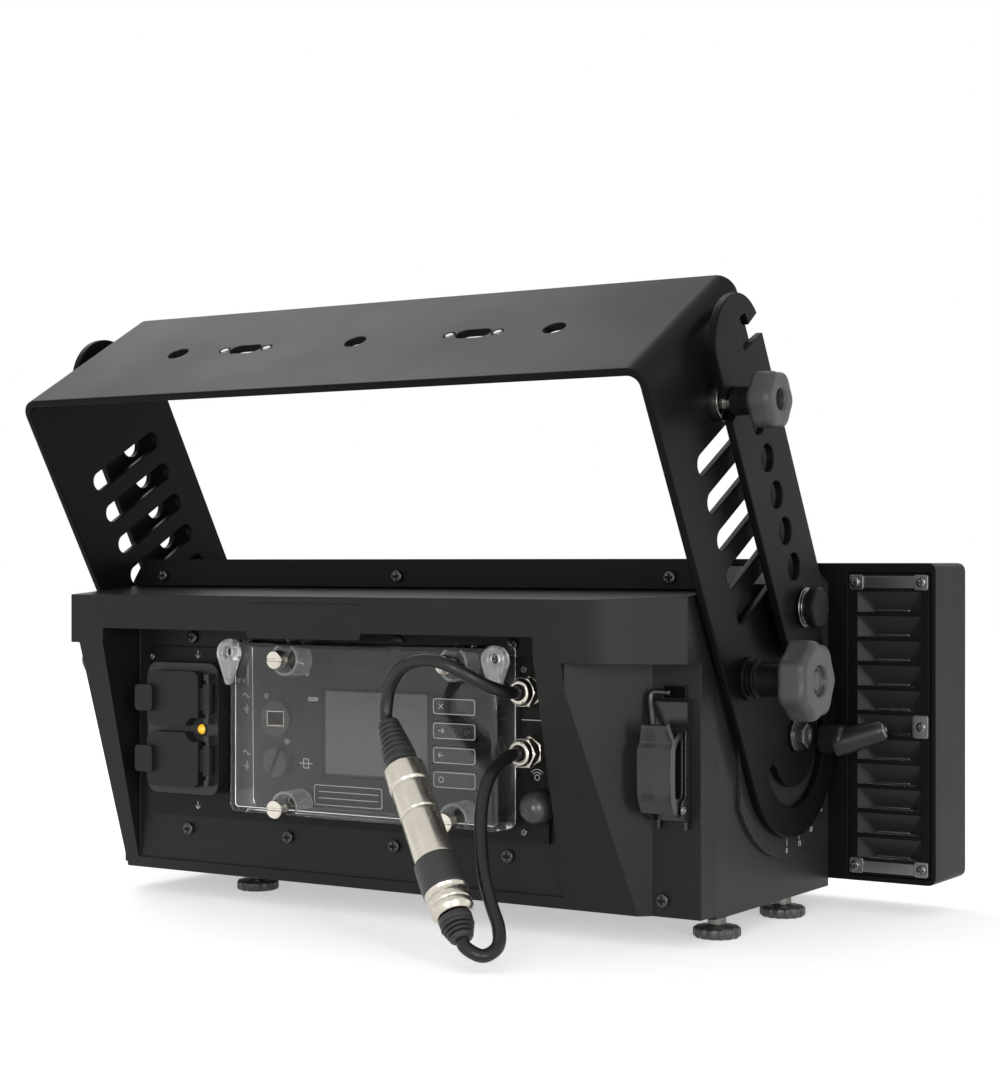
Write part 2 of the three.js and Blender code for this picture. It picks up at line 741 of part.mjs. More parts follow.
// Link plate: five holes, a side notch for the knob stem and a hook slot at the top
const linkMid = studAcross;
const notchClear = 0.9;
const hookTurn = 0.02;
const pocketDeep = 9.6;
function linkOutline() {
  const points = [];
  const steps = 12;
  for (let i = 0; i <= steps; i += 1) {
    const angle = -Math.PI / 2 - (Math.PI * i) / steps;
    points.push([studAlong + linkHalf * Math.cos(angle), linkMid + linkHalf * Math.sin(angle)]);
  }
  const hookBelow = 4.5;
  const mouthAbove = 4.9;
  const pocketWall = 12.4;
  const pocketRoom = 15.6;
  const hookLow = linkTop - hookBelow;
  const mouthHigh = linkTop + mouthAbove;
  const hookTip = mouthHigh + over;
  const pocketLow = hookLow + seam;
  const pocketHigh = pocketLow + pocketRoom;
  const pocketOut = linkMid + linkHalf - pocketWall;
  const pocketIn = pocketOut - pocketDeep;
  points.push([hookLow, linkMid + linkHalf]);
  points.push([hookLow + over, pocketOut], [pocketLow, pocketOut - over]);
  points.push([pocketLow, pocketIn + over], [pocketLow + over, pocketIn]);
  points.push([pocketHigh - over, pocketIn], [pocketHigh, pocketIn + over]);
  points.push([pocketHigh, pocketOut - over], [pocketHigh - over, pocketOut]);
  points.push([mouthHigh, pocketOut + over], [hookTip, linkMid + linkHalf - over]);
  for (let i = 1; i <= steps; i += 1) {
    const angle = Math.PI / 2 - (Math.PI * i) / steps - hookTurn;
    const along = linkTop + linkHalf * Math.cos(angle);
    const across = linkMid + linkHalf * Math.sin(angle);
    if (along > hookTip) {
      points.push([along, across]);
    }
  }
  const notchSlack = 2.6;
  const notchHalf = stemRadius + notchClear;
  const notchEnd = knobAcross + stemRadius + notchClear;
  const edge = linkMid - linkHalf;
  points.push([knobAlong + notchHalf, edge], [knobAlong + notchHalf, notchEnd - 2 * over]);
  points.push([knobAlong + notchHalf - 2 * over, notchEnd], [knobAlong - notchHalf + 2 * over, notchEnd]);
  points.push([knobAlong - notchHalf, notchEnd - 2 * over], [knobAlong - notchHalf - notchSlack, edge]);
  return points;
}
const linkHoleShare = 0.35;
const linkHoleRadius = slotPitch * linkHoleShare;
const linkHoles = [];
for (let i = 0; i < slotTotal; i += 1) {
  linkHoles.push(armRing(slotFirst + i * slotPitch + over, linkMid, linkHoleRadius, smallSides));
}
const link = prism('x', linkIn, linkOut, armShape(linkOutline()), [
  ...linkHoles, armRing(studAlong, studAcross, studRadius + seam),
]);

// Grooved stud: turns up at the foot of the link and takes the next lamp's hook
const studCollar = 10;
const studFlange = 1.9;
const studGroove = 4.6;
const studHead = 2.6;
const studGrooveFrom = linkOut + studFlange;
const studGrooveTo = studGrooveFrom + studGroove;
const studEnd = studGrooveTo + studHead;
const [studY, studZ] = onArm(studAlong, studAcross);
const stud = turned([
  [0, armIn + seam], [studRadius, armIn + seam], [studRadius, linkOut + seam],
  [studCollar, linkOut + seam], [studCollar, studGrooveFrom], [studRadius, studGrooveFrom],
  [studRadius, studGrooveTo], [studCollar - over, studGrooveTo], [studCollar, studGrooveTo + over],
  [studCollar, studEnd - over], [studCollar - over, studEnd], [0, studEnd],
], new THREE.Vector3(0, studY, studZ), new THREE.Vector3(1, 0, 0), roundSides);

// Pivot bolt: washers and hexagon head outside the arm, shank into the chassis
const boltWasher = 8.4;
const boltHead = 6.4;
const hexSides = 6;
const boltSink = 6;
const washerTall = 3;
const boltHeadTall = 4;
const boltInside = bodyHalf - boltSink;
const washerOut = armOut + washerTall;
const boltEnd = washerOut + boltHeadTall;
const pivotBolt = join(
  rod('x', boltInside, washerOut, pivotY, pivotZ, boltRadius, roundSides),
  rod('x', armOut + seam, washerOut, pivotY, pivotZ, boltWasher, roundSides),
  rod('x', washerOut - over / 2, boltEnd, pivotY, pivotZ, boltHead, hexSides),
);

// Clamp lever: stud through the arc slot, round hub and a handle that slants outward
const hubRadius = 7.4;
const hubTall = 14;
const handleSeat = 8;
const handleReach = 28;
const hubOut = armOut + hubTall;
const handleFrom = armOut + handleSeat;
const handleTo = handleFrom + handleReach;
const handleFore = 5;
const handleRise = 10;
const handleRoot = new THREE.Vector3(handleFrom, leverY - over, leverZ - over);
const handleTip = new THREE.Vector3(handleTo, leverY + handleFore, leverZ + handleRise);
const handleThin = 4.6;
const handleThick = 5.8;
const handleLong = handleRoot.distanceTo(handleTip);
const lever = join(
  rod('x', boltInside, hubOut, leverY, leverZ, leverStud, smallSides),
  rod('x', armOut + seam, hubOut, leverY, leverZ, hubRadius, roundSides),
  turned([[0, 0], [handleThin, 0], [handleThick, handleLong - 2 * over],
    [handleThick - over, handleLong], [0, handleLong]],
  handleRoot, handleTip.clone().sub(handleRoot), smallSides),
);

// Tilt scale plate: flat rear edge, round foot, holes for bolt and lever
const scaleRadius = 61.5;
const scaleRearCut = 9.5;
const scaleFlat = scaleRadius - scaleRearCut;
const scaleTop = 30;
const scaleHeadGap = 6;
const scaleFore = headBack - scaleHeadGap - pivotY;
const scaleOutline = [];
const scaleSteps = 16;
for (let i = 0; i <= scaleSteps; i += 1) {
  const from = Math.acos(-scaleFlat / scaleRadius);
  const to = 2 * Math.PI - Math.acos(scaleFore / scaleRadius);
  const angle = 2 * Math.PI - from + ((to - (2 * Math.PI - from)) * i) / scaleSteps;
  scaleOutline.push([pivotY + scaleRadius * Math.cos(angle), pivotZ + scaleRadius * Math.sin(angle)]);
}
scaleOutline.push([pivotY + scaleFore, pivotZ + scaleTop], [pivotY - scaleFlat, pivotZ + scaleTop]);
const scalePlate = prism('x', plateIn, plateOut, scaleOutline, [
  ring(pivotY, pivotZ, boltRadius + seam), ring(leverY, leverZ, leverStud + seam, smallSides),
]);

// Link knob through the notch of the link plate, and the larger lock knob with its washer
const linkKnobCollar = 7;
const linkKnobOff = 11;
const linkKnobTall = 12.9;
const linkKnobFrom = linkOut + linkKnobOff;
const linkKnobTo = linkKnobFrom + linkKnobTall;
const linkKnobRadius = 14;
const linkKnobLobes = 6;
const lockKnobCollar = 6.5;
const lockKnobOff = 22.5;
const lockKnobTall = 15.3;
const lockKnobFrom = armOut + lockKnobOff;
const lockKnobTo = lockKnobFrom + lockKnobTall;
const lockKnobRadius = 19.5;
const lockKnobLobes = 7;
const lockWasherRadius = 10.4;
const linkKnob = knob(knobAlong, knobAcross, {
  boreTo: weldStudEnd + seam,
  collarFrom: linkOut + seam,
  collarRadius: linkKnobCollar,
  gripFrom: linkKnobFrom,
  gripTo: linkKnobTo,
  gripRadius: linkKnobRadius,
  lobes: linkKnobLobes,
});
const lockKnob = join(
  knob(lockAlong, lockAcross, {
    stemFrom: armIn + seam,
    collarFrom: washerOut - over,
    collarRadius: lockKnobCollar,
    gripFrom: lockKnobFrom,
    gripTo: lockKnobTo,
    gripRadius: lockKnobRadius,
    lobes: lockKnobLobes,
  }),
  rod('x', armOut + seam, washerOut, ...onArm(lockAlong, lockAcross), lockWasherRadius),
);
const sides = { right: 1, left: -1 };
for (const [label, side] of Object.entries(sides)) {
  const set = (shape) => (side > 0 ? shape : mirrored(shape));
  place(`scale_plate_${label}`, set(scalePlate), 'coat', body);
  place(`pivot_bolt_${label}`, set(pivotBolt), 'steel', body);
  place(`clamp_lever_${label}`, set(lever), 'plastic', body);
  place(`link_plate_${label}`, set(link), 'coat', stand);
  place(`link_stud_${label}`, set(stud), 'steel', stand);
  place(`link_knob_${label}`, set(linkKnob), 'knob', stand);
  place(`lock_knob_${label}`, set(lockKnob), 'knob', stand);
}

// Feet: knurled disc with a neck and a stud that reaches into the chassis floor
const neckRadius = 4.6;
const footEdge = 1;
const footNames = ['rear', 'front'];
footXs.forEach((x, i) => {
  footYs.forEach((y, j) => {
    const foot = join(
      turned([[0, 0], [footRadius - footEdge, 0], [footRadius, footEdge],
        [footRadius, footHigh - footEdge], [footRadius - footEdge, footHigh],
        [neckRadius, footHigh], [neckRadius, bodyBottom - seam], [footStud, bodyBottom - seam],
        [footStud, bodyBottom + bodyWall + footEdge], [0, bodyBottom + bodyWall + footEdge]],
      new THREE.Vector3(x, y, 0), new THREE.Vector3(0, 0, 1), roundSides),
    );
    place(`foot_${footNames[j]}_${i > 0 ? 'right' : 'left'}`, foot, 'rubber', body);
  });
});

// Connection panel: thin sheet in front of the recess floor
const socketRadius = 12.7;
const netRadius = 9.8;
const fuseRadius = 8.2;
const thumbStem = 2.3;
const glandThread = 5.9;
const capStem = 3;
const keyLow = (z) => z - keyHigh / 2;
const panelTools = [
  ...socketZs.map((z) => rod('y', 0, reach, socketX, z, socketRadius + seam)),
  rod('y', 0, reach, netX, netZ, netRadius + seam),
  rod('y', 0, reach, fuseX, fuseZ, fuseRadius + seam),
  box(screenLeft - seam, screenRight + seam, 0, reach, screenLow - seam, screenHigh + seam),
  ...keyZs.map((z) => box(keyLeft - seam, keyRight + seam, 0, reach,
    keyLow(z) - seam, keyLow(z) + keyHigh + seam)),
  ...glandZs.map((z) => rod('y', 0, reach, glandX, z, glandThread + seam)),
  rod('y', 0, reach, capX, capZ, capStem + seam, smallSides),
];
for (const x of thumbXs) {
  for (const z of thumbZs) {
    panelTools.push(rod('y', 0, reach, x, z, thumbStem + seam, smallSides));
  }
}
place('connection_panel', cut(box(panelLeft, panelRight, panelFront, panelBack, panelLow, panelHigh),
  ...panelTools), 'panel', rear);

// Mains unit: block with two bores, a lamp seat and a hinge rod on small lugs
const blockOutset = 25.5;
const blockInset = 23.7;
const blockLeft = socketX - blockOutset;
const blockRight = socketX + blockInset;
const blockLow = 57.6;
const blockHigh = 127.6;
const blockFront = 18.4;
const blockBack = 27.2;
const rodRadius = 1.2;
const lugHalf = 1.6;
const lampOff = 12.5;
const lampX = socketX + lampOff;
const lampZ = 92.6;
const lampRadius = 2.8;
const lampSeat = 25.2;
const lampShoulder = 6;
const lampCrown = 7.6;
const lampLong = 8.2;
const hingeSpan = 10;
const blockRound = 6;
let block = cut(
  prism('y', blockFront, blockBack, roundRect(blockLeft, blockRight, blockLow, blockHigh, blockRound)),
  ...socketZs.map((z) => rod('y', 0, reach, socketX, z, socketRadius + seam)),
  rod('y', 0, lampSeat, lampX, lampZ, lampRadius + seam, smallSides),
);
for (const z of socketZs) {
  for (const end of [-1, 1]) {
    const z0 = z + end * hingeSpan;
    block = join(block, box(flapPinX - lugHalf, flapPinX + lugHalf, flapPinY - lugHalf, blockFront + over,
      Math.min(z0, z0 + end * 2 * lugHalf), Math.max(z0, z0 + end * 2 * lugHalf)));
  }
  block = join(block, rod('z', z - hingeSpan - over, z + hingeSpan + over, flapPinX, flapPinY,
    rodRadius, smallSides));
}
place('mains_block', block, 'plastic', rear);
place('mains_lamp', turned([[0, 0], [lampRadius, 0], [lampRadius, lampShoulder],
  [lampRadius - over, lampCrown], [0, lampLong]], new THREE.Vector3(lampX, lampSeat - seam, lampZ),
new THREE.Vector3(0, -1, 0), smallSides), 'amber', rear);

// Mains sockets and the sprung rubber flaps in front of them
const socketFront = 19;
const socketEnd = 46;
const socketLip = 2;
const socketFloor = 38;
const contactHalf = 1.2;
const contactPitch = 3;
const flapNames = ['output', 'input'];
const flapOutset = 20.5;
const flapInset = 15.1;
const flapLeft = socketX - flapOutset;
const flapBack = 18;
const flapFront = 12;
const flapTall = 14.6;
const flapRight = socketX + flapInset;
const barrelRadius = 2.8;
const tabLong = 6;
const tabHalf = 7;
const tabProud = 3;
const tabRound = 2;
const flapRound = 4;
const webHalf = 6;
const flapLampGap = 6.6;
socketZs.forEach((z, i) => {
  let socket = cut(
    rod('y', socketFront, socketEnd, socketX, z, socketRadius),
    rod('y', socketFront - over, socketFloor, socketX, z, socketRadius - socketLip),
  );
  socket = join(socket, rod('y', socketFront + over, socketEnd - over, socketX, z,
    socketRadius / 2, smallSides));
  for (const side of [-1, 1]) {
    socket = cut(socket, box(socketX + side * contactPitch - contactHalf,
      socketX + side * contactPitch + contactHalf, 0, socketFloor, z - contactHalf, z + contactHalf));
  }
  place(`mains_${flapNames[i]}_socket`, socket, 'plastic', rear);
  const plate = prism('y', flapFront, flapBack,
    roundRect(flapLeft, flapRight, z - flapTall, z + flapTall, flapRound));
  const lampGap = rod('y', 0, reach, lampX, lampZ, flapLampGap);
  const flap = cut(
    join(
      cut(plate, lampGap),
      box(flapRight - 2 * over, flapPinX, flapPinY - over, flapPinY + over,
        z - webHalf, z + webHalf),
      rod('z', z - hingeSpan + 2 * over, z + hingeSpan - 2 * over, flapPinX, flapPinY,
        barrelRadius, smallSides),
      prism('y', flapFront - tabProud, flapFront + over,
        roundRect(flapLeft - tabLong, flapLeft + tabLong, z - tabHalf, z + tabHalf, tabRound)),
    ),
    rod('z', z - hingeSpan, z + hingeSpan, flapPinX, flapPinY, rodRadius + seam, smallSides),
  );
  place(`mains_${flapNames[i]}_flap`, flap, 'rubber', rear);
});

// Clear cover: shallow tray with corner bosses and four thumb screws
const coverBack = 27.2;
const bossSide = 7.4;
const bossProud = 3;
const wellRadius = 8;
const wellBack = 25.2;
const coverRound = 4;
let cover = cut(
  prism('y', coverFront, coverBack, roundRect(coverLeft, coverRight, coverLow, coverHigh, coverRound)),
  box(coverLeft + coverGauge, coverRight - coverGauge, coverFront + coverGauge, coverBack + over,
    coverLow + coverGauge, coverHigh - coverGauge),
);
for (const x of [coverLeft + over, coverRight - over]) {
  cover = join(cover, rod('y', coverFront - bossProud, coverFront + bossProud, x,
    coverHigh - bossSide, bossSide, smallSides));
}
const thumbNames = { [thumbXs[0]]: 'left', [thumbXs[1]]: 'right' };
const thumbLevels = ['lower', 'upper'];
for (const x of thumbXs) {
  for (const z of thumbZs) {
    const well = solid(rod('y', coverFront + over, wellBack, x, z, wellRadius))
      .intersect(solid(box(coverLeft, coverRight, coverFront, coverBack, coverLow, coverHigh)));
    cover = cut(join(cover, well), rod('y', 0, reach, x, z, thumbStem + seam, smallSides));
  }
}
place('clear_cover', cover, 'clear', rear);
const thumbFrom = 3;
const thumbSlotHalf = 0.6;
const thumbSlotDeep = 1;
for (const x of thumbXs) {
  thumbZs.forEach((z, j) => {
    const screw = cut(
      join(
        rod('y', thumbFrom, coverFront - seam, x, z, thumbHead, roundSides),
        rod('y', thumbFrom + over, panelBack - seam, x, z, thumbStem, smallSides),
      ),
      box(x - thumbHead - over, x + thumbHead + over, thumbFrom - over,
        thumbFrom + thumbSlotDeep, z - thumbSlotHalf, z + thumbSlotHalf),
    );
    place(`cover_screw_${thumbLevels[j]}_${thumbNames[x]}`, screw, 'nickel', rear);
  });
}

// Network socket, fuse cap, screen, four keys and the aerial cap
const netWide = 5.8;
const netTall = 4;
const netFront = 25.6;
const netFloor = 39.6;
const netBack = 43.6;
const fuseBack = 38.6;
const fuseShoulder = 14;
const fuseLong = 15;
const fuseSlotHalf = 0.8;
const fuseSlotLong = 6;
const fuseSlotEnd = 25.6;
const screenFront = 28.2;
const screenBack = 33.6;
place('network_socket', cut(
  rod('y', netFront, netBack, netX, netZ, netRadius),
  box(netX - netWide, netX + netWide, 0, netFloor, netZ - netTall, netZ + netTall),
), 'steel', rear);
place('fuse_cap', cut(
  turned([[0, 0], [fuseRadius, 0], [fuseRadius, fuseShoulder], [fuseRadius - over, fuseLong],
    [0, fuseLong]], new THREE.Vector3(fuseX, fuseBack, fuseZ), new THREE.Vector3(0, -1, 0)),
  box(fuseX - fuseSlotHalf, fuseX + fuseSlotHalf, 0, fuseSlotEnd, fuseZ - fuseSlotLong,
    fuseZ + fuseSlotLong),
), 'plastic', rear);
place('screen', box(screenLeft, screenRight, screenFront, screenBack, screenLow, screenHigh),
  'screen', rear);
const keyFront = 26.7;
const keyBack = 31.2;
const keyRound = 1.4;
const keyNames = ['escape', 'next', 'previous', 'enter'];
keyZs.forEach((z, i) => {
  place(`key_${keyNames[i]}`, prism('y', keyFront, keyBack,
    roundRect(keyLeft, keyRight, keyLow(z), keyLow(z) + keyHigh, keyRound)), 'panel', rear);
});
const capRadius = 8.4;
const capTall = 10;
const capNeck = 2.6;
const capRim = 5;
const capProfile = [[0, 0], [capStem, 0], [capStem, capNeck], [capRadius, capNeck],
  [capRadius, capRim]];
const capSteps = 6;
for (let i = 1; i <= capSteps; i += 1) {
  const angle = (Math.PI / 2) * (i / capSteps);
  capProfile.push([i < capSteps ? capRadius * Math.cos(angle) : 0, capRim + capTall * Math.sin(angle)]);
}
place('aerial_cap', turned(capProfile, new THREE.Vector3(capX, panelBack, capZ),
  new THREE.Vector3(0, -1, 0)), 'rubber', rear);

// Corner latch: base with lugs and a ledge, pull lever, and a wire bail on the lever
const latchBack = 34.6;
const latchGauge = 2.2;
const lugThick = 2;
const lugTop = 72;
const lugLow = 60;
const lugFront = 23.5;
const pinRadius = 1.3;
const leverSide = 0.5;
const leverLeft = latchLeft + lugThick + leverSide;
const leverRight = latchRight - lugThick - leverSide;
const ledgeLow = 116;
const ledgeHigh = 127;
const ledgeFront = 29.4;
const ledgeInset = 3;
place('latch_base', join(
  box(latchLeft, latchRight, latchBack - latchGauge, latchBack, latchLow, latchHigh),
  box(latchLeft + ledgeInset, latchRight - ledgeInset, latchBack - latchGauge, latchBack,
    latchHigh - over, ledgeHigh),
  box(latchLeft + ledgeInset, latchRight - ledgeInset, ledgeFront, latchBack, ledgeLow, ledgeHigh),
  box(latchLeft, latchLeft + lugThick, lugFront, latchBack, lugLow, lugTop),
  box(latchRight - lugThick, latchRight, lugFront, latchBack, lugLow, lugTop),
  rod('x', latchLeft, latchRight, latchPinY, latchPinZ, pinRadius, smallSides),
), 'plastic', body);
const leverDeep = 11.3;
const leverTall = 40.5;
const leverShellShares = [[-0.035, -0.096], [0.23, -0.069], [0.345, 0], [0.345, 0.148],
  [0.177, 0.543], [0, 0.741], [-0.354, 0.79], [-0.681, 1], [-0.982, 0.988], [-0.735, 0.775],
  [-0.929, 0.691], [-1, 0.444], [-0.912, 0.148], [-0.619, -0.04]];
const leverShell = leverShellShares.map(([v, w]) => [
  latchPinY + v * leverDeep, latchPinZ + w * leverTall]);
const bailSideHalf = 1.6;
place('latch_lever', cut(
  prism('x', leverLeft, leverRight, leverShell),
  rod('x', 0, reach, latchPinY, latchPinZ, pinRadius + seam, smallSides),
  rod('x', leverLeft - over, leverLeft + 2 * bailSideHalf, bailPinY, bailPinZ, bailWire + seam,
    smallSides),
  rod('x', leverRight - 2 * bailSideHalf, leverRight + over, bailPinY, bailPinZ, bailWire + seam,
    smallSides),
), 'plastic', body);
const bailTopY = 27.2;
const bailOut = 0.3;
const elbowShare = 0.8;
const bailLeft = leverLeft - bailOut - bailWire;
const bailRight = leverRight + bailOut + bailWire;
const wireSides = 8;
const bailPath = new THREE.CurvePath();
const bailPoints = [
  [leverLeft + bailSideHalf, bailPinY, bailPinZ], [bailLeft, bailPinY, bailPinZ],
  [bailLeft, bailTopY, bailTop], [bailRight, bailTopY, bailTop],
  [bailRight, bailPinY, bailPinZ], [leverRight - bailSideHalf, bailPinY, bailPinZ],
].map((p) => new THREE.Vector3(...p));
let bail = null;
for (let i = 1; i < bailPoints.length; i += 1) {
  const from = bailPoints[i - 1];
  const step = bailPoints[i].clone().sub(from);
  const length = step.length();
  const last = i === bailPoints.length - 1;
  const first = i === 1;
  const start = first ? 0 : -bailWire * elbowShare;
  const end = last ? length : length + bailWire * elbowShare;
  const piece = solid(turned([[0, start], [bailWire, start], [bailWire, end], [0, end]],
    from, step, wireSides));
  bail = bail ? bail.add(piece) : piece;
}
place('latch_bail', bail, 'steel', body);

// Cable glands: hexagon base, hexagon nut and a domed mouth round the cord
const glandNames = ['lower', 'upper'];
const glandIn = 36;
const glandBase = 27.2;
const glandNeck = 22.8;
const glandNut = 20.6;
const glandDome = 16;
const glandMouth = 12.6;
const hexRadius = 8;
const neckThin = 6.4;
const mouthLip = 1.4;
const mouthRadius = 5.2;
[glandZs[1], glandZs[0]].forEach((z, i) => {
  place(`cord_gland_${glandNames[i]}`, cut(
    join(
      rod('y', glandBase - over, glandIn, glandX, z, glandThread),
      rod('y', glandNeck, glandBase, glandX, z, hexRadius, hexSides),
      rod('y', glandNut - over, glandNeck + over, glandX, z, neckThin),
      rod('y', glandDome, glandNut, glandX, z, hexRadius, hexSides, Math.PI / hexSides),
      turned([[0, 0], [neckThin, 0], [neckThin, mouthLip], [mouthRadius, glandDome + over - glandMouth],
        [0, glandDome + over - glandMouth]],
      new THREE.Vector3(glandX, glandDome + over, z), new THREE.Vector3(0, -1, 0)),
    ),
    rod('y', 0, reach, glandX, z, cordRadius + seam, smallSides),
  ), 'nickel', rear);
});

// Cords and the mated pair of line connectors that hangs between them
const pairTop = new THREE.Vector3(43.2, -20, 104.4);
const pairEnd = new THREE.Vector3(116.6, -66, 13.6);
const pairAxis = pairEnd.clone().sub(pairTop).normalize();
const pairLong = pairEnd.distanceTo(pairTop);
const alongPair = (d) => pairTop.clone().addScaledVector(pairAxis, d);
const shellRadius = 10;
const bootThin = 4.9;
const bootWide = 7.8;
const bootRibs = 5;
const bootSides = 14;
const shellSides = 18;
const femaleBootShare = 0.21;
const femaleShellShare = 0.66;
const collarShare = 0.14;
const maleShellShare = 0.9;
const femaleBoot = femaleBootShare * pairLong;
const femaleShell = femaleShellShare * pairLong;
const collarLong = collarShare * pairLong;
const maleShell = maleShellShare * pairLong;
const ribDeep = 0.7;
const ribShares = [0.6, 0.7, 0.95];
const bootBoreShare = 0.6;
function boot(from, length, direction) {
  const profile = [[0, 0], [bootThin - over, 0], [bootThin, over]];
  const rib = (length - 4 * over) / bootRibs;
  for (let i = 0; i < bootRibs; i += 1) {
    const h = 2 * over + i * rib;
    const r = bootThin + ((bootWide - bootThin) * (i + 1)) / bootRibs;
    const [crest, start, end] = ribShares.map((share) => h + rib * share);
    profile.push([r, h], [r, crest], [r - ribDeep, start], [r - ribDeep, end]);
  }
  profile.push([bootWide, length - 2 * over], [bootWide, length], [0, length]);
  return cut(turned(profile, from, direction, bootSides),
    turned([[0, -over], [cordRadius + seam, -over], [cordRadius + seam, length * bootBoreShare],
      [0, length * bootBoreShare]], from, direction, smallSides));
}
const maleBootLong = pairLong - maleShell;
place('connector_boot_upper', boot(pairTop, femaleBoot - seam, pairAxis), 'rubber', cords);
place('connector_boot_lower', boot(pairEnd, maleBootLong - seam, pairAxis.clone().negate()),
  'rubber', cords);
const stepDown = 0.6;
const shellEase = 2.5;
const bandLong = 13;
const collarEase = 2;
const grooveLong = 2;
place('connector_female', turned([
  [0, femaleBoot], [shellRadius - 2 * over, femaleBoot], [shellRadius, femaleBoot + shellEase],
  [shellRadius, femaleBoot + bandLong], [shellRadius - stepDown, femaleBoot + bandLong + over],
  [shellRadius - stepDown, femaleShell], [0, femaleShell],
], pairTop, pairAxis, shellSides), 'nickel', cords);
const collarFrom = femaleShell + seam;
const collarTo = femaleShell + collarLong;
place('connector_male', turned([
  [0, collarFrom], [shellRadius, collarFrom], [shellRadius + stepDown, femaleShell + collarEase],
  [shellRadius + stepDown, collarTo - collarEase], [shellRadius, collarTo],
  [shellRadius - stepDown, collarTo + over], [shellRadius - stepDown, collarTo + over + grooveLong],
  [shellRadius, collarTo + 2 * over + grooveLong], [shellRadius, maleShell - shellEase],
  [shellRadius - 2 * over, maleShell - seam], [0, maleShell - seam],
], pairTop, pairAxis, shellSides), 'nickel', cords);

function cord(points, steps) {
  const curve = new THREE.CatmullRomCurve3(points.map((p) => new THREE.Vector3(...p)), false,
    'centripetal');
  const shape = outline(ring(0, 0, cordRadius, cordSides));
  return new THREE.ExtrudeGeometry(shape, { steps, extrudePath: curve, bevelEnabled: false });
}
const bootMidShare = 0.5;
const entry = 3.2;
const cordInY = 30;
const cordOutY = 12;
const upperRoute = [[95.4, 4, 119.6], [92.4, -6, 122.4], [87, -14, 127], [79.3, -19, 132],
  [70, -21, 134.8], [59.3, -21.4, 134.2], [50.4, -20.6, 129.8], [43.4, -18.6, 121.8],
  [41, -18, 113.6]];
const lowerRoute = [[95.6, 2, 87.8], [96, -10, 82.4], [97, -18, 74.2], [99.6, -25, 64.2],
  [103.5, -31, 54.3], [108.1, -37, 44.6], [113.6, -42.4, 35.1], [119.8, -46.6, 25.7],
  [126, -51, 17.6], [129.4, -57.4, 10.6], [126.6, -65, 7.6]];
const upperSteps = 36;
const lowerSteps = 50;
const upperEnd = [-entry, over, femaleBoot * bootMidShare];
const lowerEnd = [pairLong + entry, pairLong - over, pairLong - maleBootLong * bootMidShare];
const throughGland = (z) => [[glandX, cordInY, z], [glandX, cordOutY, z]];
place('cord_upper', cord([...throughGland(glandZs[0]), ...upperRoute,
  ...upperEnd.map((d) => alongPair(d).toArray())], upperSteps), 'rubber', cords);
place('cord_lower', cord([...throughGland(glandZs[1]), ...lowerRoute,
  ...lowerEnd.map((d) => alongPair(d).toArray())], lowerSteps), 'rubber', cords);

export default root;
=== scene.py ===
# Strobe light seen from its connection side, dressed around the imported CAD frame.
# Everything is in metres, +Z up, and the light leaves toward +Y.
import json
import math

import bmesh
import bpy
import numpy as np
from mathutils.geometry import delaunay_2d_cdt
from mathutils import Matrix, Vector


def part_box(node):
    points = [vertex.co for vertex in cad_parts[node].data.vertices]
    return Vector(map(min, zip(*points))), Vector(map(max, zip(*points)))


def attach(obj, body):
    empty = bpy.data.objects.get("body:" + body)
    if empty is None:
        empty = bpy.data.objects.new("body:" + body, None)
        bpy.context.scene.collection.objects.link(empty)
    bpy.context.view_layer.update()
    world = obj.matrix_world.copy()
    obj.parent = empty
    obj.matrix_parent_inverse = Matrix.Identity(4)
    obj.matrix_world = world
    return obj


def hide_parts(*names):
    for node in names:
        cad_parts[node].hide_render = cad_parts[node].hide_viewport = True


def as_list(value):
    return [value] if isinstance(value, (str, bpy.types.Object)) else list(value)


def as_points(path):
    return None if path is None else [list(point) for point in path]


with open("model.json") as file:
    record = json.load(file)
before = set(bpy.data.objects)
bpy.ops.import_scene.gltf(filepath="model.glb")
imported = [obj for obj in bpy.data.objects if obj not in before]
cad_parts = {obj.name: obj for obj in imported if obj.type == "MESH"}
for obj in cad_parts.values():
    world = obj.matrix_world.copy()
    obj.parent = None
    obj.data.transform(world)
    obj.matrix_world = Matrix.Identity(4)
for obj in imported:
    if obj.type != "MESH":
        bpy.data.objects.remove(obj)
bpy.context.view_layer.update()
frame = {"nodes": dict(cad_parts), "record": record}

# Camera: level, behind the lamp and to its right, on the connection side.
# The whole height of the photograph's frame is the lens's long side.
camera_place = (0.644, -0.956, 0.181)
camera_turn = 32.6
camera_lens = 72.0
camera_lift = 0.0237
camera = bpy.data.objects.new("camera", bpy.data.cameras.new("camera"))
camera.data.lens = camera_lens
camera.data.shift_y = camera_lift
camera.location = camera_place
camera.rotation_euler = (math.radians(90), 0, math.radians(camera_turn))
bpy.context.scene.collection.objects.link(camera)
bpy.context.scene.camera = camera
bpy.context.scene.view_settings.view_transform = "Standard"

# Studio light: an even white room and five soft lamps: a broad one high on the left, a
# weak one on the panel, the key lamp behind and to the right, a low strip that grazes the
# right side and a tall lamp that draws the edges there.
def add_node(tree, kind, values=(), **settings):
    """New shader node: values go to its inputs by name or number, settings to the node."""
    made = tree.nodes.new(f"ShaderNode{kind}")
    for key, value in dict(values).items():
        made.inputs[key].default_value = value
    for key, value in settings.items():
        setattr(made, key, value)
    return made


def join_nodes(tree, *pairs):
    """Links each pair of an output and an input."""
    for start, end in pairs:
        tree.links.new(start, end)


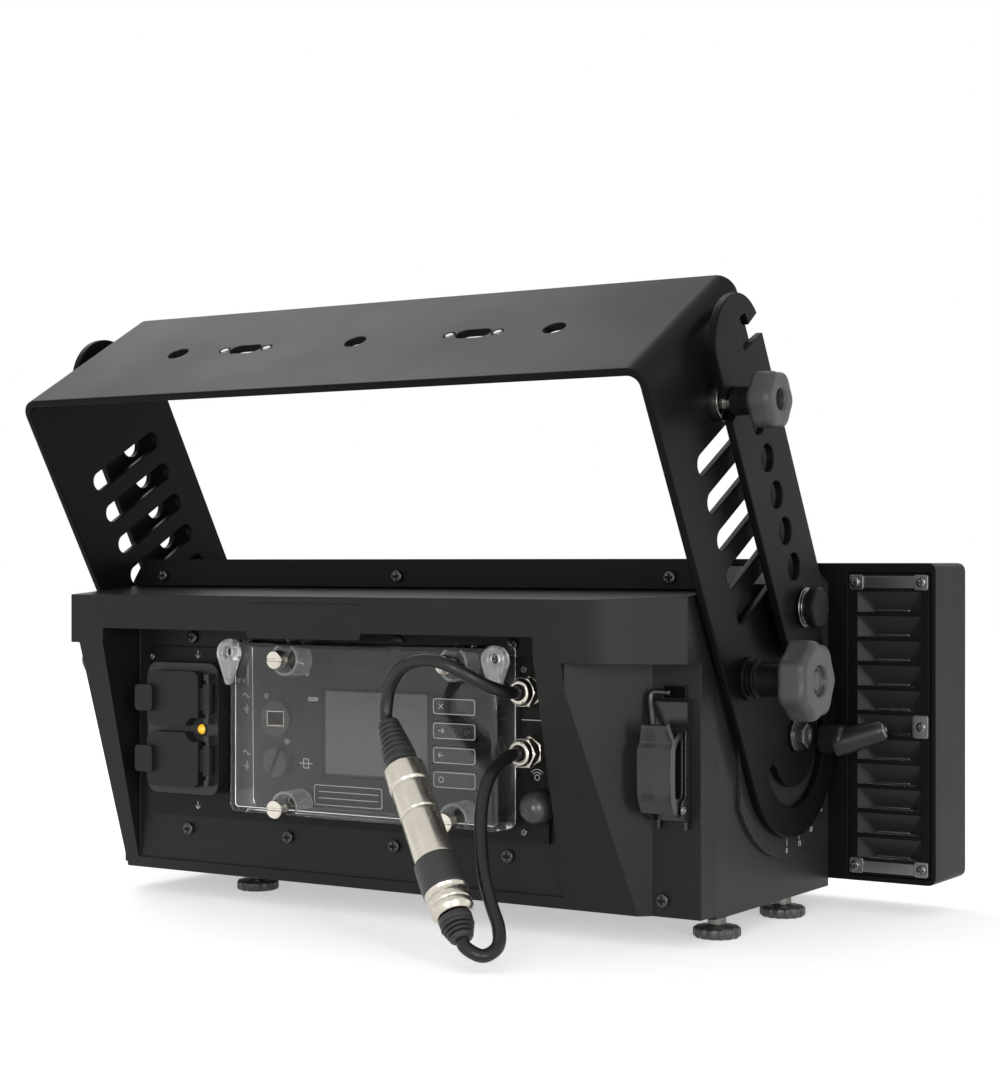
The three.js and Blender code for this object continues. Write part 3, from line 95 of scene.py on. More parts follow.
room_level = 0.56
room_white = (1, 1, 1, 1)
world = bpy.data.worlds.new("white_room")
bpy.context.scene.world = world
world.use_nodes = True
room = world.node_tree
room.nodes.clear()
room_out = add_node(room, "OutputWorld")
room_plain = add_node(room, "Background", {"Color": room_white, "Strength": room_level})
room_seen = add_node(room, "Background", {"Color": room_white})
room_mix = add_node(room, "MixShader")
room_path = add_node(room, "LightPath")
room_any = add_node(room, "Math", operation="MAXIMUM")
room_all = add_node(room, "Math", operation="MAXIMUM")
join_nodes(
    room,
    (room_path.outputs["Is Camera Ray"], room_any.inputs[0]),
    (room_path.outputs["Is Glossy Ray"], room_any.inputs[1]),
    (room_any.outputs[0], room_all.inputs[0]),
    (room_path.outputs["Is Transmission Ray"], room_all.inputs[1]),
    (room_all.outputs[0], room_mix.inputs["Fac"]),
    (room_plain.outputs[0], room_mix.inputs[1]),
    (room_seen.outputs[0], room_mix.inputs[2]),
    (room_mix.outputs[0], room_out.inputs["Surface"]),
)
for lamp_name, lamp_place, lamp_aim, lamp_wide, lamp_tall, lamp_power in (
    ("upper_lamp", (-1.3, 0.6, 1.9), (0, 0, 0.15), 1.6, 1.6, 17.0),
    ("panel_lamp", (-0.9, -1.9, 1.0), (0, 0, 0.12), 1.4, 1.4, 0.8),
    ("key_lamp", (0.85, -2.2, 0.45), (0.1, 0, 0.12), 0.5, 0.9, 15.0),
    ("side_strip", (1.9, 1.7, 0.16), (0.18, 0, 0.08), 1.5, 0.3, 1.5),
    ("edge_lamp", (2.0, -1.25, 0.35), (0.18, 0, 0.12), 0.3, 1.2, 18.0),
):
    lamp = bpy.data.lights.new(lamp_name, "AREA")
    lamp.shape = "RECTANGLE"
    lamp.size, lamp.size_y, lamp.energy = lamp_wide, lamp_tall, lamp_power
    lamp_object = bpy.data.objects.new(lamp_name, lamp)
    lamp_object.location = lamp_place
    lamp_object.visible_camera = False
    aim = np.subtract(lamp_aim, lamp_place)
    lamp_object.rotation_euler = (math.atan2(math.hypot(aim[0], aim[1]), -aim[2]), 0,
                                  math.atan2(aim[1], aim[0]) - math.pi / 2)
    bpy.context.scene.collection.objects.link(lamp_object)


# Floor: one pale sheet that runs to the horizon. The camera and glossy surfaces see it
# brighter than it is, so it closes with the white room.
def surface(name, verts, faces, smooth=True):
    """Mesh object from an (n, 3) array of points and a list or array of faces."""
    mesh = bpy.data.meshes.new(name)
    mesh.from_pydata(np.asarray(verts, float).tolist(), [], [list(map(int, f)) for f in faces])
    mesh.polygons.foreach_set("use_smooth", np.full(len(mesh.polygons), smooth))
    mesh.update()
    made = bpy.data.objects.new(name, mesh)
    bpy.context.scene.collection.objects.link(made)
    return made


floor_half = 60.0
floor_shade = (0.93, 0.93, 0.93, 1)
floor_lift = 0.48
floor = surface("studio_floor", floor_half * np.array(
    [(-1, -1, 0), (1, -1, 0), (1, 1, 0), (-1, 1, 0)]), [(0, 1, 2, 3)])
paper = bpy.data.materials.new("floor_paper")
paper.use_nodes = True
paper_tree = paper.node_tree
paper_tree.nodes.clear()
paper_out = add_node(paper_tree, "OutputMaterial")
paper_flat = add_node(paper_tree, "BsdfDiffuse", {"Color": floor_shade})
paper_glow = add_node(paper_tree, "Emission")
paper_path = add_node(paper_tree, "LightPath")
paper_any = add_node(paper_tree, "Math", operation="MAXIMUM")
paper_level = add_node(paper_tree, "Math", {1: floor_lift}, operation="MULTIPLY")
paper_sum = add_node(paper_tree, "AddShader")
join_nodes(
    paper_tree,
    (paper_path.outputs["Is Camera Ray"], paper_any.inputs[0]),
    (paper_path.outputs["Is Glossy Ray"], paper_any.inputs[1]),
    (paper_any.outputs[0], paper_level.inputs[0]),
    (paper_level.outputs[0], paper_glow.inputs["Strength"]),
    (paper_flat.outputs[0], paper_sum.inputs[0]),
    (paper_glow.outputs[0], paper_sum.inputs[1]),
    (paper_sum.outputs[0], paper_out.inputs["Surface"]),
)
floor.data.materials.append(paper)


# Signal cords: black PVC, 6.2 mm thick, from each cable gland to one end of the
# mated pair of line connectors. Smooth extruded jacket.
def finish(name, colour, roughness, grain=(900.0, 0.00003), mottle=(30.0, 0.12), metal=0.0,
           level=0.5, rough_swing=0.12, more=()):
    """Material: colour and roughness swing with slow noise, bumps follow fine noise.

    grain is (cells per metre, bump height in metres), mottle is (cells per metre, share),
    more holds other inputs of the shader by name.
    """
    noise_low, noise_high = 0.3, 0.7
    made = bpy.data.materials.new(name)
    made.use_nodes = True
    tree = made.node_tree
    shader = tree.nodes["Principled BSDF"]
    for key, value in {"Metallic": metal, "Specular IOR Level": level, **dict(more)}.items():
        shader.inputs[key].default_value = value
    place = add_node(tree, "TexCoord")
    fine = add_node(tree, "TexNoise", {"Scale": grain[0], "Detail": 3})
    bump = add_node(tree, "Bump", {"Strength": 1, "Distance": grain[1]})
    slow = add_node(tree, "TexNoise", {"Scale": mottle[0], "Detail": 5})
    tint = add_node(tree, "ValToRGB")
    tint.color_ramp.elements[0].position = noise_low
    tint.color_ramp.elements[1].position = noise_high
    for stop, factor in zip(tint.color_ramp.elements, (1 - mottle[1], 1 + mottle[1])):
        stop.color = (*(min(1.0, c * factor) for c in colour), 1)
    swing = add_node(tree, "MapRange", {
        "From Min": noise_low, "From Max": noise_high, "To Min": roughness * (1 - rough_swing),
        "To Max": min(1.0, roughness * (1 + rough_swing))})
    join_nodes(
        tree,
        (place.outputs["Object"], fine.inputs["Vector"]),
        (fine.outputs["Fac"], bump.inputs["Height"]),
        (bump.outputs["Normal"], shader.inputs["Normal"]),
        (place.outputs["Object"], slow.inputs["Vector"]),
        (slow.outputs["Fac"], tint.inputs["Fac"]),
        (tint.outputs["Color"], shader.inputs["Base Color"]),
        (slow.outputs["Fac"], swing.inputs["Value"]),
        (swing.outputs["Result"], shader.inputs["Roughness"]),
    )
    return made


def put(piece, material, body, slot, *nodes):
    """Gives the piece its material and its body and hides the CAD nodes that it stands for; the
    slot is not used.
    """
    piece.data.materials.clear()
    piece.data.materials.append(material)
    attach(piece, body)
    if nodes:
        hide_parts(*nodes)
    return piece


def grid_faces(rows, columns, closed=True, ends=True):
    """Quads of a rows by columns grid whose columns close on themselves, with end caps."""
    r, c = np.meshgrid(np.arange(rows - 1), np.arange(columns if closed else columns - 1),
                       indexing="ij")
    a = (r * columns + c).ravel()
    b = (r * columns + (c + 1) % columns).ravel()
    faces = np.stack([a, b, b + columns, a + columns], 1).tolist()
    if ends:
        faces.append(list(range(columns))[::-1])
        faces.append(list(range((rows - 1) * columns, rows * columns)))
    return faces


def smooth_route(points, per_span):
    """Centripetal cubic through the points: root-of-distance knots, cubic Hermite spans."""
    p = np.asarray(points, float)
    p = np.vstack([2 * p[0] - p[1], p, 2 * p[-1] - p[-2]])
    gap = np.sqrt(np.linalg.norm(np.diff(p, axis=0), axis=1))[:, None]
    g0, g1, g2 = gap[:-2], gap[1:-1], gap[2:]
    a, b, c, d = p[:-3], p[1:-2], p[2:-1], p[3:]
    m1 = ((b - a) / g0 - (c - a) / (g0 + g1) + (c - b) / g1) * g1
    m2 = ((c - b) / g1 - (d - b) / (g1 + g2) + (d - c) / g2) * g1
    t = (np.arange(per_span) / per_span)[None, :, None]
    b, c, m1, m2 = (v[:, None, :] for v in (b, c, m1, m2))
    spans = (b * (2 * t**3 - 3 * t**2 + 1) + m1 * (t**3 - 2 * t**2 + t)
             + c * (3 * t**2 - 2 * t**3) + m2 * (t**3 - t**2))
    return np.vstack([spans.reshape(-1, 3), p[-2]])


def tube(name, route, radius, sides=20, aside=(0.9, 0.35, 0.25)):
    """Round tube: circles of the radius in the planes square to the route."""
    route = np.asarray(route, float)
    along = np.gradient(route, axis=0)
    along /= np.linalg.norm(along, axis=1)[:, None]
    side = np.asarray(aside, float) - (along @ np.asarray(aside, float))[:, None] * along
    side /= np.linalg.norm(side, axis=1)[:, None]
    over = np.cross(along, side)
    angle = 2 * np.pi * np.arange(sides) / sides
    ring = side[:, None] * np.cos(angle)[:, None] + over[:, None] * np.sin(angle)[:, None]
    verts = route[:, None] + np.reshape(radius, (-1, 1, 1)) * ring
    return surface(name, verts.reshape(-1, 3), grid_faces(len(route), sides))


shift_y = 0.0961
pair_top = np.array([0.0432, -0.020 - shift_y, 0.1044])
pair_end = np.array([0.1166, -0.066 - shift_y, 0.0136])
pair_long = float(np.linalg.norm(pair_end - pair_top))
pair_axis = (pair_end - pair_top) / pair_long
upper_boot_long = 0.21 * pair_long
lower_boot_long = 0.10 * pair_long
cord_radius = 0.0031
cord_bend_in, cord_ledge = 0.0032, 0.001
cord_from_y = (0.030, 0.012)
gland_x = 0.096
gland_z = {"upper": 0.1189, "lower": 0.0896}
cord_routes = {
    "upper": [[95.4, 4, 119.6], [92.4, -6, 122.4], [87, -14, 127], [79.3, -19, 132],
              [70, -21, 134.8], [59.3, -21.4, 134.2], [50.4, -20.6, 129.8],
              [43.4, -18.6, 121.8], [41, -18, 113.6]],
    "lower": [[95.6, 2, 87.8], [96, -10, 82.4], [97, -18, 74.2], [99.6, -25, 64.2],
              [103.5, -31, 54.3], [108.1, -37, 44.6], [113.6, -42.4, 35.1],
              [119.8, -46.6, 25.7], [126, -51, 17.6], [129.4, -57.4, 10.6],
              [126.6, -65, 7.6]],
}
cord_ends = {
    "upper": [-cord_bend_in, cord_ledge, upper_boot_long / 2],
    "lower": [pair_long + cord_bend_in, pair_long - cord_ledge,
              pair_long - lower_boot_long / 2],
}
jacket = finish("cord_jacket", (0.0065, 0.0065, 0.0062), 0.34, grain=(1400.0, 0.00001),
                mottle=(60.0, 0.1), level=0.38)
cord_paths, cord_pieces = {}, {}
for name, route in cord_routes.items():
    start = [[gland_x, y - shift_y, gland_z[name]] for y in cord_from_y]
    middle = np.array(route) / 1000 - [0, shift_y, 0]
    end = [pair_top + d * pair_axis for d in cord_ends[name]]
    path = smooth_route([*start, *middle, *end], 10)
    cord_paths[name] = path
    cord_pieces[name] = tube(f"cord_{name}_jacket", path, cord_radius)
    put(cord_pieces[name], jacket, "lamp", "black_rubber", f"cord_{name}")


# Line connectors: a mated pair of round metal shells, satin nickel plated, with turned
# bands and a ring of black tape. The ribbed rubber boots thread on behind.
def turned(name, profile, origin, axis, sides=48, wave=None, dip=None):
    """Turned piece: each (radius, height) of the profile swept round the axis.

    wave(angle, radius, height) gives a factor on the radius, for flats, lobes and knurls.
    dip(side, over, height) gives a depth that the surface sinks by, for slots.
    """
    axis = np.asarray(axis, float) / np.linalg.norm(axis)
    aside = np.array([0.0, 0.0, 1.0]) if abs(axis[2]) < 0.9 else np.array([1.0, 0.0, 0.0])
    side = np.cross(aside, axis)
    side /= np.linalg.norm(side)
    over = np.cross(axis, side)
    radius, height = np.asarray(profile, float).T
    angle = 2 * np.pi * np.arange(sides) / sides
    r = np.repeat(radius[:, None], sides, 1)
    if wave is not None:
        r = r * wave(angle[None, :], radius[:, None], height[:, None])
    u, v = r * np.cos(angle), r * np.sin(angle)
    h = np.repeat(height[:, None], sides, 1)
    if dip is not None:
        h = h - dip(u, v, h)
    verts = (np.asarray(origin, float)
             + u[..., None] * side + v[..., None] * over + h[..., None] * axis)
    return surface(name, verts.reshape(-1, 3), grid_faces(len(profile), sides))


def eased(profile, radius, steps=3):
    """Profile with each corner rounded: a quadratic arc between points near the corner."""
    p = np.asarray(profile, float)
    before, corner, after = p[:-2], p[1:-1], p[2:]
    in_long = np.linalg.norm(corner - before, axis=1)[:, None]
    out_long = np.linalg.norm(after - corner, axis=1)[:, None]
    cut = np.minimum(radius, 0.45 * np.minimum(in_long, out_long))
    a = corner + (before - corner) / in_long * cut
    b = corner + (after - corner) / out_long * cut
    t = (np.arange(steps + 1) / steps)[None, :, None]
    curve = a[:, None] * (1 - t) ** 2 + 2 * corner[:, None] * t * (1 - t) + b[:, None] * t**2
    return np.vstack([p[:1], curve.reshape(-1, 2), p[-1:]])


def mark_sharp(work, degrees):
    """Marks the edges that bend more than the angle as sharp, so that flats stay flat."""
    limit = math.radians(degrees)
    for edge in work.edges:
        edge.smooth = len(edge.link_faces) == 2 and edge.calc_face_angle(0) < limit


def rework(piece, change, *values):
    """Changes the mesh of a piece by one function of its bmesh."""
    work = bmesh.new()
    work.from_mesh(piece.data)
    change(work, *values)
    work.to_mesh(piece.data)
    work.free()
    return piece


def sharpen(piece, degrees=35.0):
    """The piece with its bent edges marked sharp."""
    return rework(piece, mark_sharp, degrees)


def lathe(name, rows, ease, at, axis, material, body, slot, *nodes, sharp=35, **shape):
    """Turned piece with eased corners, its edges marked sharp, put on its body."""
    made = turned(name, eased(rows, ease), at, axis, **shape)
    return put(sharpen(made, sharp) if sharp else made, material, body, slot, *nodes)


tiny = 0.00002
nickel = finish("satin_nickel", (0.60, 0.56, 0.49), 0.27, grain=(2600.0, 0.000006),
                mottle=(55.0, 0.06), metal=1.0, rough_swing=0.2)
female_from = upper_boot_long
female_to = 0.66 * pair_long
collar_to = 0.80 * pair_long
male_to = 0.90 * pair_long
female = lathe("connector_female_shell", [
    (tiny, female_from), (0.0078, female_from), (0.0100, female_from + 0.0025),
    (0.0100, female_from + 0.0128), (0.0092, female_from + 0.0136),
    (0.0092, female_from + 0.0146), (0.0094, female_from + 0.0150),
    (0.0094, female_from + 0.0290), (0.0090, female_from + 0.0296),
    (0.0090, female_from + 0.0306), (0.0094, female_from + 0.0312),
    (0.0094, female_to - 0.0012), (0.0088, female_to), (tiny, female_to),
], 0.0005, pair_top, pair_axis, nickel, "lamp", "nickel", "connector_female", sides=64)
male = lathe("connector_male_shell", [
    (tiny, female_to + 0.0004), (0.0098, female_to + 0.0004), (0.0104, female_to + 0.0014),
    (0.0104, collar_to - 0.0012), (0.0098, collar_to), (0.0094, collar_to + 0.0008),
    (0.0094, collar_to + 0.0024), (0.0100, collar_to + 0.0032), (0.0100, collar_to + 0.0060),
    (0.0096, collar_to + 0.0064), (0.0096, collar_to + 0.0070), (0.0100, collar_to + 0.0074),
    (0.0100, male_to - 0.0030), (0.0082, male_to - 0.0004), (tiny, male_to - 0.0004),
], 0.0005, pair_top, pair_axis, nickel, "lamp", "nickel", "connector_male", sides=64)
tape = finish("black_tape", (0.022, 0.022, 0.021), 0.42, grain=(700.0, 0.00004))
tape_ring = lathe("connector_tape_ring", [
    (0.0099, female_to - 0.0004), (0.01048, female_to - 0.0002), (0.0106, female_to + 0.0008),
    (0.01058, collar_to - 0.0060), (0.01062, collar_to - 0.0020), (0.0104, collar_to - 0.0008),
    (0.0099, collar_to - 0.0008),
], 0.0003, pair_top, pair_axis, tape, "lamp", "black_rubber", sides=64,
    wave=lambda a, r, h: 1 + 0.006 * np.cos(a + 300 * h) + 0.004 * np.cos(3 * a))
boot_thin, boot_wide, boot_ends = 0.0049, 0.0078, 0.0045
rib_groove = 0.0010


def boot_rows(length, ribs):
    """Ribbed cone: radius grows along the boot, and each rib is a raised band with a groove."""
    rows = [(tiny, 0.0), (boot_thin - 0.0009, 0.0), (boot_thin, 0.0006)]
    pitch = (length - boot_ends) / ribs
    for i in range(ribs):
        h = 0.0012 + i * pitch
        r = boot_thin + (boot_wide - boot_thin) * (i + 1) / ribs
        rows += [(r - 0.0002, h), (r, h + 0.1 * pitch), (r, h + 0.55 * pitch),
                 (r - rib_groove, h + 0.66 * pitch), (r - rib_groove, h + 0.9 * pitch)]
    return [*rows, (boot_wide, length - 0.0028), (boot_wide, length - 0.0002),
            (boot_wide - 0.0004, length), (tiny, length)]


boot_gap = 0.0004
boot_rubber = finish("boot_rubber", (0.017, 0.0175, 0.017), 0.5, grain=(1500.0, 0.00002),
                     mottle=(70.0, 0.15))
boot_up = lathe("connector_boot_upper_ribs", boot_rows(upper_boot_long - boot_gap, 7), 0.0003,
                pair_top, pair_axis, boot_rubber, "lamp", "black_rubber", "connector_boot_upper")
boot_low = lathe("connector_boot_lower_ribs", boot_rows(lower_boot_long - boot_gap, 4), 0.0003,
                 pair_end, -pair_axis, boot_rubber, "lamp", "black_rubber",
                 "connector_boot_lower")
for name, on_it in (("upper", [boot_up, female]), ("lower", [boot_low, male, tape_ring])):
    path = cord_paths[name]
    cord_long = float(np.linalg.norm(np.diff(path, axis=0), axis=1).sum())
    tuple(path[0])
    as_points(path)
    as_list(on_it)


# Chassis: a folded steel sleeve with cut top corners, in fine satin black powder coat,
# drawn in a lighter copy of the coat that paints on the light falling on its right side.
# The rounded folds and edges come from a small bevel on a merged copy of the solid.
body_of = {n: b for b, names in frame["record"]["behaviour"]["bodies"].items() for n in names}
merge_gap = 2e-6
flat_bend = math.radians(0.6)
fold = 30.0


def merged(work):
    """Joins doubled points, dissolves coplanar faces and shades all but the folds smooth."""
    bmesh.ops.remove_doubles(work, verts=work.verts[:], dist=merge_gap)
    bmesh.ops.dissolve_limit(work, angle_limit=flat_bend, verts=work.verts[:],
                             edges=work.edges[:])
    for face in work.faces:
        face.smooth = True
    mark_sharp(work, fold)


def dressed(node, material, slot, bevel, steps=2):
    """Merged copy of a CAD node, its folds rounded by a bevel of this width."""
    mesh = frame["nodes"][node].data.copy()
    mesh.name = f"{node}_finished"
    made = rework(bpy.data.objects.new(mesh.name, mesh), merged)
    bpy.context.scene.collection.objects.link(made)
    if bevel:
        edge_round = made.modifiers.new("edge_round", "BEVEL")
        edge_round.width = bevel
        edge_round.segments = steps
        edge_round.limit_method = "ANGLE"
        edge_round.angle_limit = math.radians(fold)
        edge_round.harden_normals = True
    return put(made, material, body_of[node], slot, node)


coat = finish("satin_black_coat", (0.0050, 0.0050, 0.0046), 0.42, grain=(1100.0, 0.00002),
              mottle=(14.0, 0.12), level=0.085, rough_swing=0.08)
# Painted light: a lighter, glossier copy of the satin black coat for the chassis, the scale plates
# and the grille scoops, standing in for the light on the right side.
lit_side_coat = finish("lit_side_coat", (0.0240, 0.0242, 0.0234), 0.40, grain=(1100.0, 0.00002),
                   mottle=(14.0, 0.12), level=0.14, rough_swing=0.08)
# Painted shade: a darker copy of the same coat for the yoke, the link stud bosses and the link
# plates, standing in for the shade on the arms.
shaded_yoke_coat = finish("shaded_yoke_coat", (0.0038, 0.0039, 0.0035), 0.42, grain=(1100.0, 0.00002),
                   mottle=(14.0, 0.12), level=0.07, rough_swing=0.08)
dressed("main_chassis", lit_side_coat, "black_coat", 0.0012, 3)


# Lid: flat steel cover, folded down at the back, held by three pan head screws
# with cross recesses. The screws are blackened steel.
def cross_screws(name, places, radius, tall, material=None):
    """Screw heads in one mesh: polar grids whose height is a dome less a cross recess."""
    around, recess_half, recess_reach = 48, 0.17, 0.62
    share = np.array([0.02, 0.12, 0.22, 0.32, 0.42, 0.5, 0.58, 0.66, 0.76, 0.86, 0.94, 1.0, 1.0])
    angle = 2 * np.pi * np.arange(around) / around
    x = share[:, None] * np.cos(angle)
    y = share[:, None] * np.sin(angle)
    narrow = np.minimum(np.abs(x), np.abs(y))
    wide = np.maximum(np.abs(x), np.abs(y))
    recess = (np.clip((recess_half - narrow) / 0.05, 0, 1)
              * np.clip((recess_reach - wide) / 0.08, 0, 1))
    dome = np.sqrt(np.clip(1 - (0.86 * share) ** 2, 0, 1))[:, None]
    height = tall * (0.35 + 0.65 * dome) - 0.75 * tall * recess
    height[-1] = -0.3 * tall
    height[-2] = 0.45 * tall
    head = np.stack([radius * x, -height, radius * y], -1).reshape(-1, 3)
    faces = grid_faces(len(share), around)
    quads = [[v + n * len(head) for v in face] for n in range(len(places)) for face in faces]
    made = surface(name, np.vstack([head + np.array(place) for place in places]), quads)
    return put(sharpen(made, 50), material or black_steel, "lamp", "dark_steel")


screw_zinc = finish("screw_zinc", (0.17, 0.165, 0.155), 0.26, grain=(2200.0, 0.00001),
                    mottle=(160.0, 0.2), metal=1.0)
black_steel = finish("black_steel", (0.070, 0.069, 0.066), 0.30, grain=(2200.0, 0.00001),
                     mottle=(120.0, 0.2), metal=0.9)
dressed("top_lid", coat, "black_coat", 0.0006, 2)
lid_screw_x, lid_screw_y = (-0.1595, 0.0, 0.1595), 0.0482 - shift_y
cross_screws("lid_screws", [(x, lid_screw_y, 0.174) for x in lid_screw_x], 0.0032, 0.0016)


# Rear hood: one deep plastic moulding with a fine grain, a brow that turns forward at
# its right end, a recess for the panel and a wedge bay for the corner latch.
moulded = finish("moulded_black", (0.0090, 0.0091, 0.0085), 0.45, grain=(1500.0, 0.00005),
                 mottle=(18.0, 0.15), level=0.22)
dressed("rear_hood", moulded, "cast_black", 0.0015, 3)
hood_screw_x = {0.141: (-0.12151, 0.01381, 0.08249),
                0.0374: (-0.1245, -0.05637, 0.01177, 0.0799)}
hood_screw_y = 0.0294 - shift_y
bay_screw = (0.163, 0.0344 - shift_y, 0.022)
hood_screws = [(x, hood_screw_y, z) for z, row in hood_screw_x.items() for x in row]
hood_screws.append(bay_screw)
cross_screws("hood_screws", hood_screws, 0.0033, 0.0018)


# Lamp head: aluminium frame round the light source, and the zinc plated screws that hold
# the corners of its two rear grilles.
dressed("head_housing", coat, "black_coat", 0.0009, 3)
grille_screw_y = 0.1806 - shift_y
both_sides = ((1, "right"), (-1, "left"))
grille_screw_x, grille_screw_z = (0.1975, 0.2339), (0.0239, 0.1711)
for side, name in both_sides:
    cross_screws(f"grille_screws_{name}", [(side * x, grille_screw_y, z) for x in grille_screw_x
                                           for z in grille_screw_z], 0.0026, 0.0014, screw_zinc)


# Yoke: one steel sheet, laser cut and folded twice. The blank is worked out flat, with
# its slots and holes, and then folded; its edges are slightly rounded by the coating.
def arc(u, v, radius, start, end, steps):
    """Points on a circle about (u, v) from one angle to the other, in degrees."""
    angle = np.radians(np.linspace(start, end, steps + 1))
    return np.stack([u + radius * np.cos(angle), v + radius * np.sin(angle)], 1)


def ring_of(u, v, radius, steps=32):
    """Closed circle of points."""
    return arc(u, v, radius, 0, 360, steps)[:-1]


def pill(u0, v0, u1, v1, radius, steps=10):
    """Closed outline of a slot: two half circles joined by straight sides."""
    turn = math.degrees(math.atan2(v1 - v0, u1 - u0))
    return np.vstack([arc(u1, v1, radius, turn - 90, turn + 90, steps),
                      arc(u0, v0, radius, turn + 90, turn + 270, steps)])


def inside(points, loops):
    """Even-odd rule: inside when a ray from the point crosses the loops an odd number of times."""
    hit = np.zeros(len(points), int)
    for loop in loops:
        a, b = loop, np.roll(loop, -1, axis=0)
        x, y = points[:, :1], points[:, 1:]
        spans = (a[:, 1] > y) != (b[:, 1] > y)
        rise = np.where(b[:, 1] == a[:, 1], 1, b[:, 1] - a[:, 1])
        at = a[:, 0] + (y - a[:, 1]) / rise * (b[:, 0] - a[:, 0])
        hit += (spans & (x < at)).sum(1)
    return hit % 2 == 1


def plate(name, loops, thick, edge, place, folds=()):
    """Sheet with holes: flat faces inset by the edge radius, joined by rounded rims.

    loops are the outline and its holes, folds are pairs of outline points to join by an
    edge. place(u, v, w) takes flat places, w through the thickness, to the lamp's frame.
    """
    steps = 3
    quarter = np.linspace(0, np.pi / 2, steps + 1)
    inset = np.concatenate([edge * (1 - np.sin(quarter)), edge * (1 - np.sin(quarter))[::-1]])
    level = np.concatenate([thick / 2 - edge * (1 - np.cos(quarter)),
                            -(thick / 2 - edge * (1 - np.cos(quarter)))[::-1]])
    flat, verts, faces, tops, ends, first = [], [], [], [], [], 0
    for n, loop in enumerate(loops):
        loop = np.asarray(loop, float)
        area = np.sum(loop[:, 0] * np.roll(loop[:, 1], -1) - np.roll(loop[:, 0], -1) * loop[:, 1])
        if (area > 0) != (n == 0):
            loop = loop[::-1]
        before, after = np.roll(loop, 1, axis=0), np.roll(loop, -1, axis=0)
        d0 = (loop - before) / np.linalg.norm(loop - before, axis=1)[:, None]
        d1 = (after - loop) / np.linalg.norm(after - loop, axis=1)[:, None]
        out = np.stack([d0[:, 1] + d1[:, 1], -(d0[:, 0] + d1[:, 0])], 1)
        out /= np.maximum((out**2).sum(1) / 2, 0.35)[:, None]
        rows = loop[None] - inset[:, None, None] * out[None]
        flat.append(loop)
        count = len(loop)
        w = np.broadcast_to(level[:, None], (len(level), count))
        verts.append(place(rows[..., 0].ravel(), rows[..., 1].ravel(), w.ravel()))
        quads = np.array(grid_faces(len(level), count, ends=False))[:, ::-1] + first
        faces += quads.tolist()
        tops.append(first + np.arange(count))
        ends.append(first + (len(level) - 1) * count + np.arange(count))
        first += len(level) * count
    tops, ends = np.concatenate(tops), np.concatenate(ends)
    outline = np.vstack(flat)
    links, start = [], 0
    for loop in flat:
        links += [(start + i, start + (i + 1) % len(loop)) for i in range(len(loop))]
        start += len(loop)
    for a, b in folds:
        near = [int(np.argmin(((outline - np.asarray(p)) ** 2).sum(1))) for p in (a, b)]
        links.append(tuple(near))
    found = delaunay_2d_cdt([tuple(p) for p in outline.tolist()], links, [], 0, 1e-9)
    cells = np.array([f for f in found[2] if len(f) == 3])
    points = np.array([tuple(p) for p in found[0]])
    cells = cells[inside(points[cells].mean(1), flat)]
    source = np.array([o[0] if o else 0 for o in found[3]])
    cells = source[cells]
    a, b, c = (outline[cells[:, i]] for i in range(3))
    turn = (b[:, 0] - a[:, 0]) * (c[:, 1] - a[:, 1]) - (b[:, 1] - a[:, 1]) * (c[:, 0] - a[:, 0])
    cells = np.where(turn[:, None] > 0, cells, cells[:, ::-1])
    faces += tops[cells].tolist() + ends[cells[:, ::-1]].tolist()
    made = sharpen(surface(name, np.vstack(verts), faces), 40)
    flat_faces = made.modifiers.new("flat_faces", "WEIGHTED_NORMAL")
    flat_faces.weight = 90
    flat_faces.keep_sharp = True
    return made


lean = math.radians(30)
pivot = np.array([0.126 - shift_y, 0.095])


def on_arm(along, across):
    """(y, z) of a point given along the yoke arm from the pivot and across it."""
    return (pivot[0] - along * math.sin(lean) + across * math.cos(lean),
            pivot[1] + along * math.cos(lean) + across * math.sin(lean))


def polar_on_arm(points):
    """(y, z) offsets from the pivot turned into (along, across)."""
    y, z = points[:, 0], points[:, 1]
    return np.stack([-y * math.sin(lean) + z * math.cos(lean),
                     y * math.cos(lean) + z * math.sin(lean)], 1)


arm_half = 0.0515
arm_out = 0.189
yoke_gauge = 0.004
yoke_top = 0.228
yoke_bend = 0.0095
flat_half = arm_out - yoke_bend
bend_mid = yoke_bend - yoke_gauge / 2
bend_long = bend_mid * math.pi / 2
arm_from = yoke_top - yoke_bend
bend_steps = 10


def blank(along, across):
    """Flat place of an arm point: its distance from the yoke's middle, and across."""
    return np.stack([flat_half + bend_long + arm_from - along, across], 1)


def folded(u, v, w):
    """Blank folded into the yoke: a flat top, a quarter bend and a flat arm each side."""
    side, far = np.sign(u), np.abs(u)
    turn = np.clip((far - flat_half) / bend_mid, 0, math.pi / 2)
    low = np.clip(far - flat_half - bend_long, 0, None)
    x = np.minimum(far, flat_half) + (bend_mid + w) * np.sin(turn)
    along = arm_from - low + (bend_mid + w) * np.cos(turn)
    y, z = on_arm(along, v)
    return np.stack([side * x, y, z], 1)


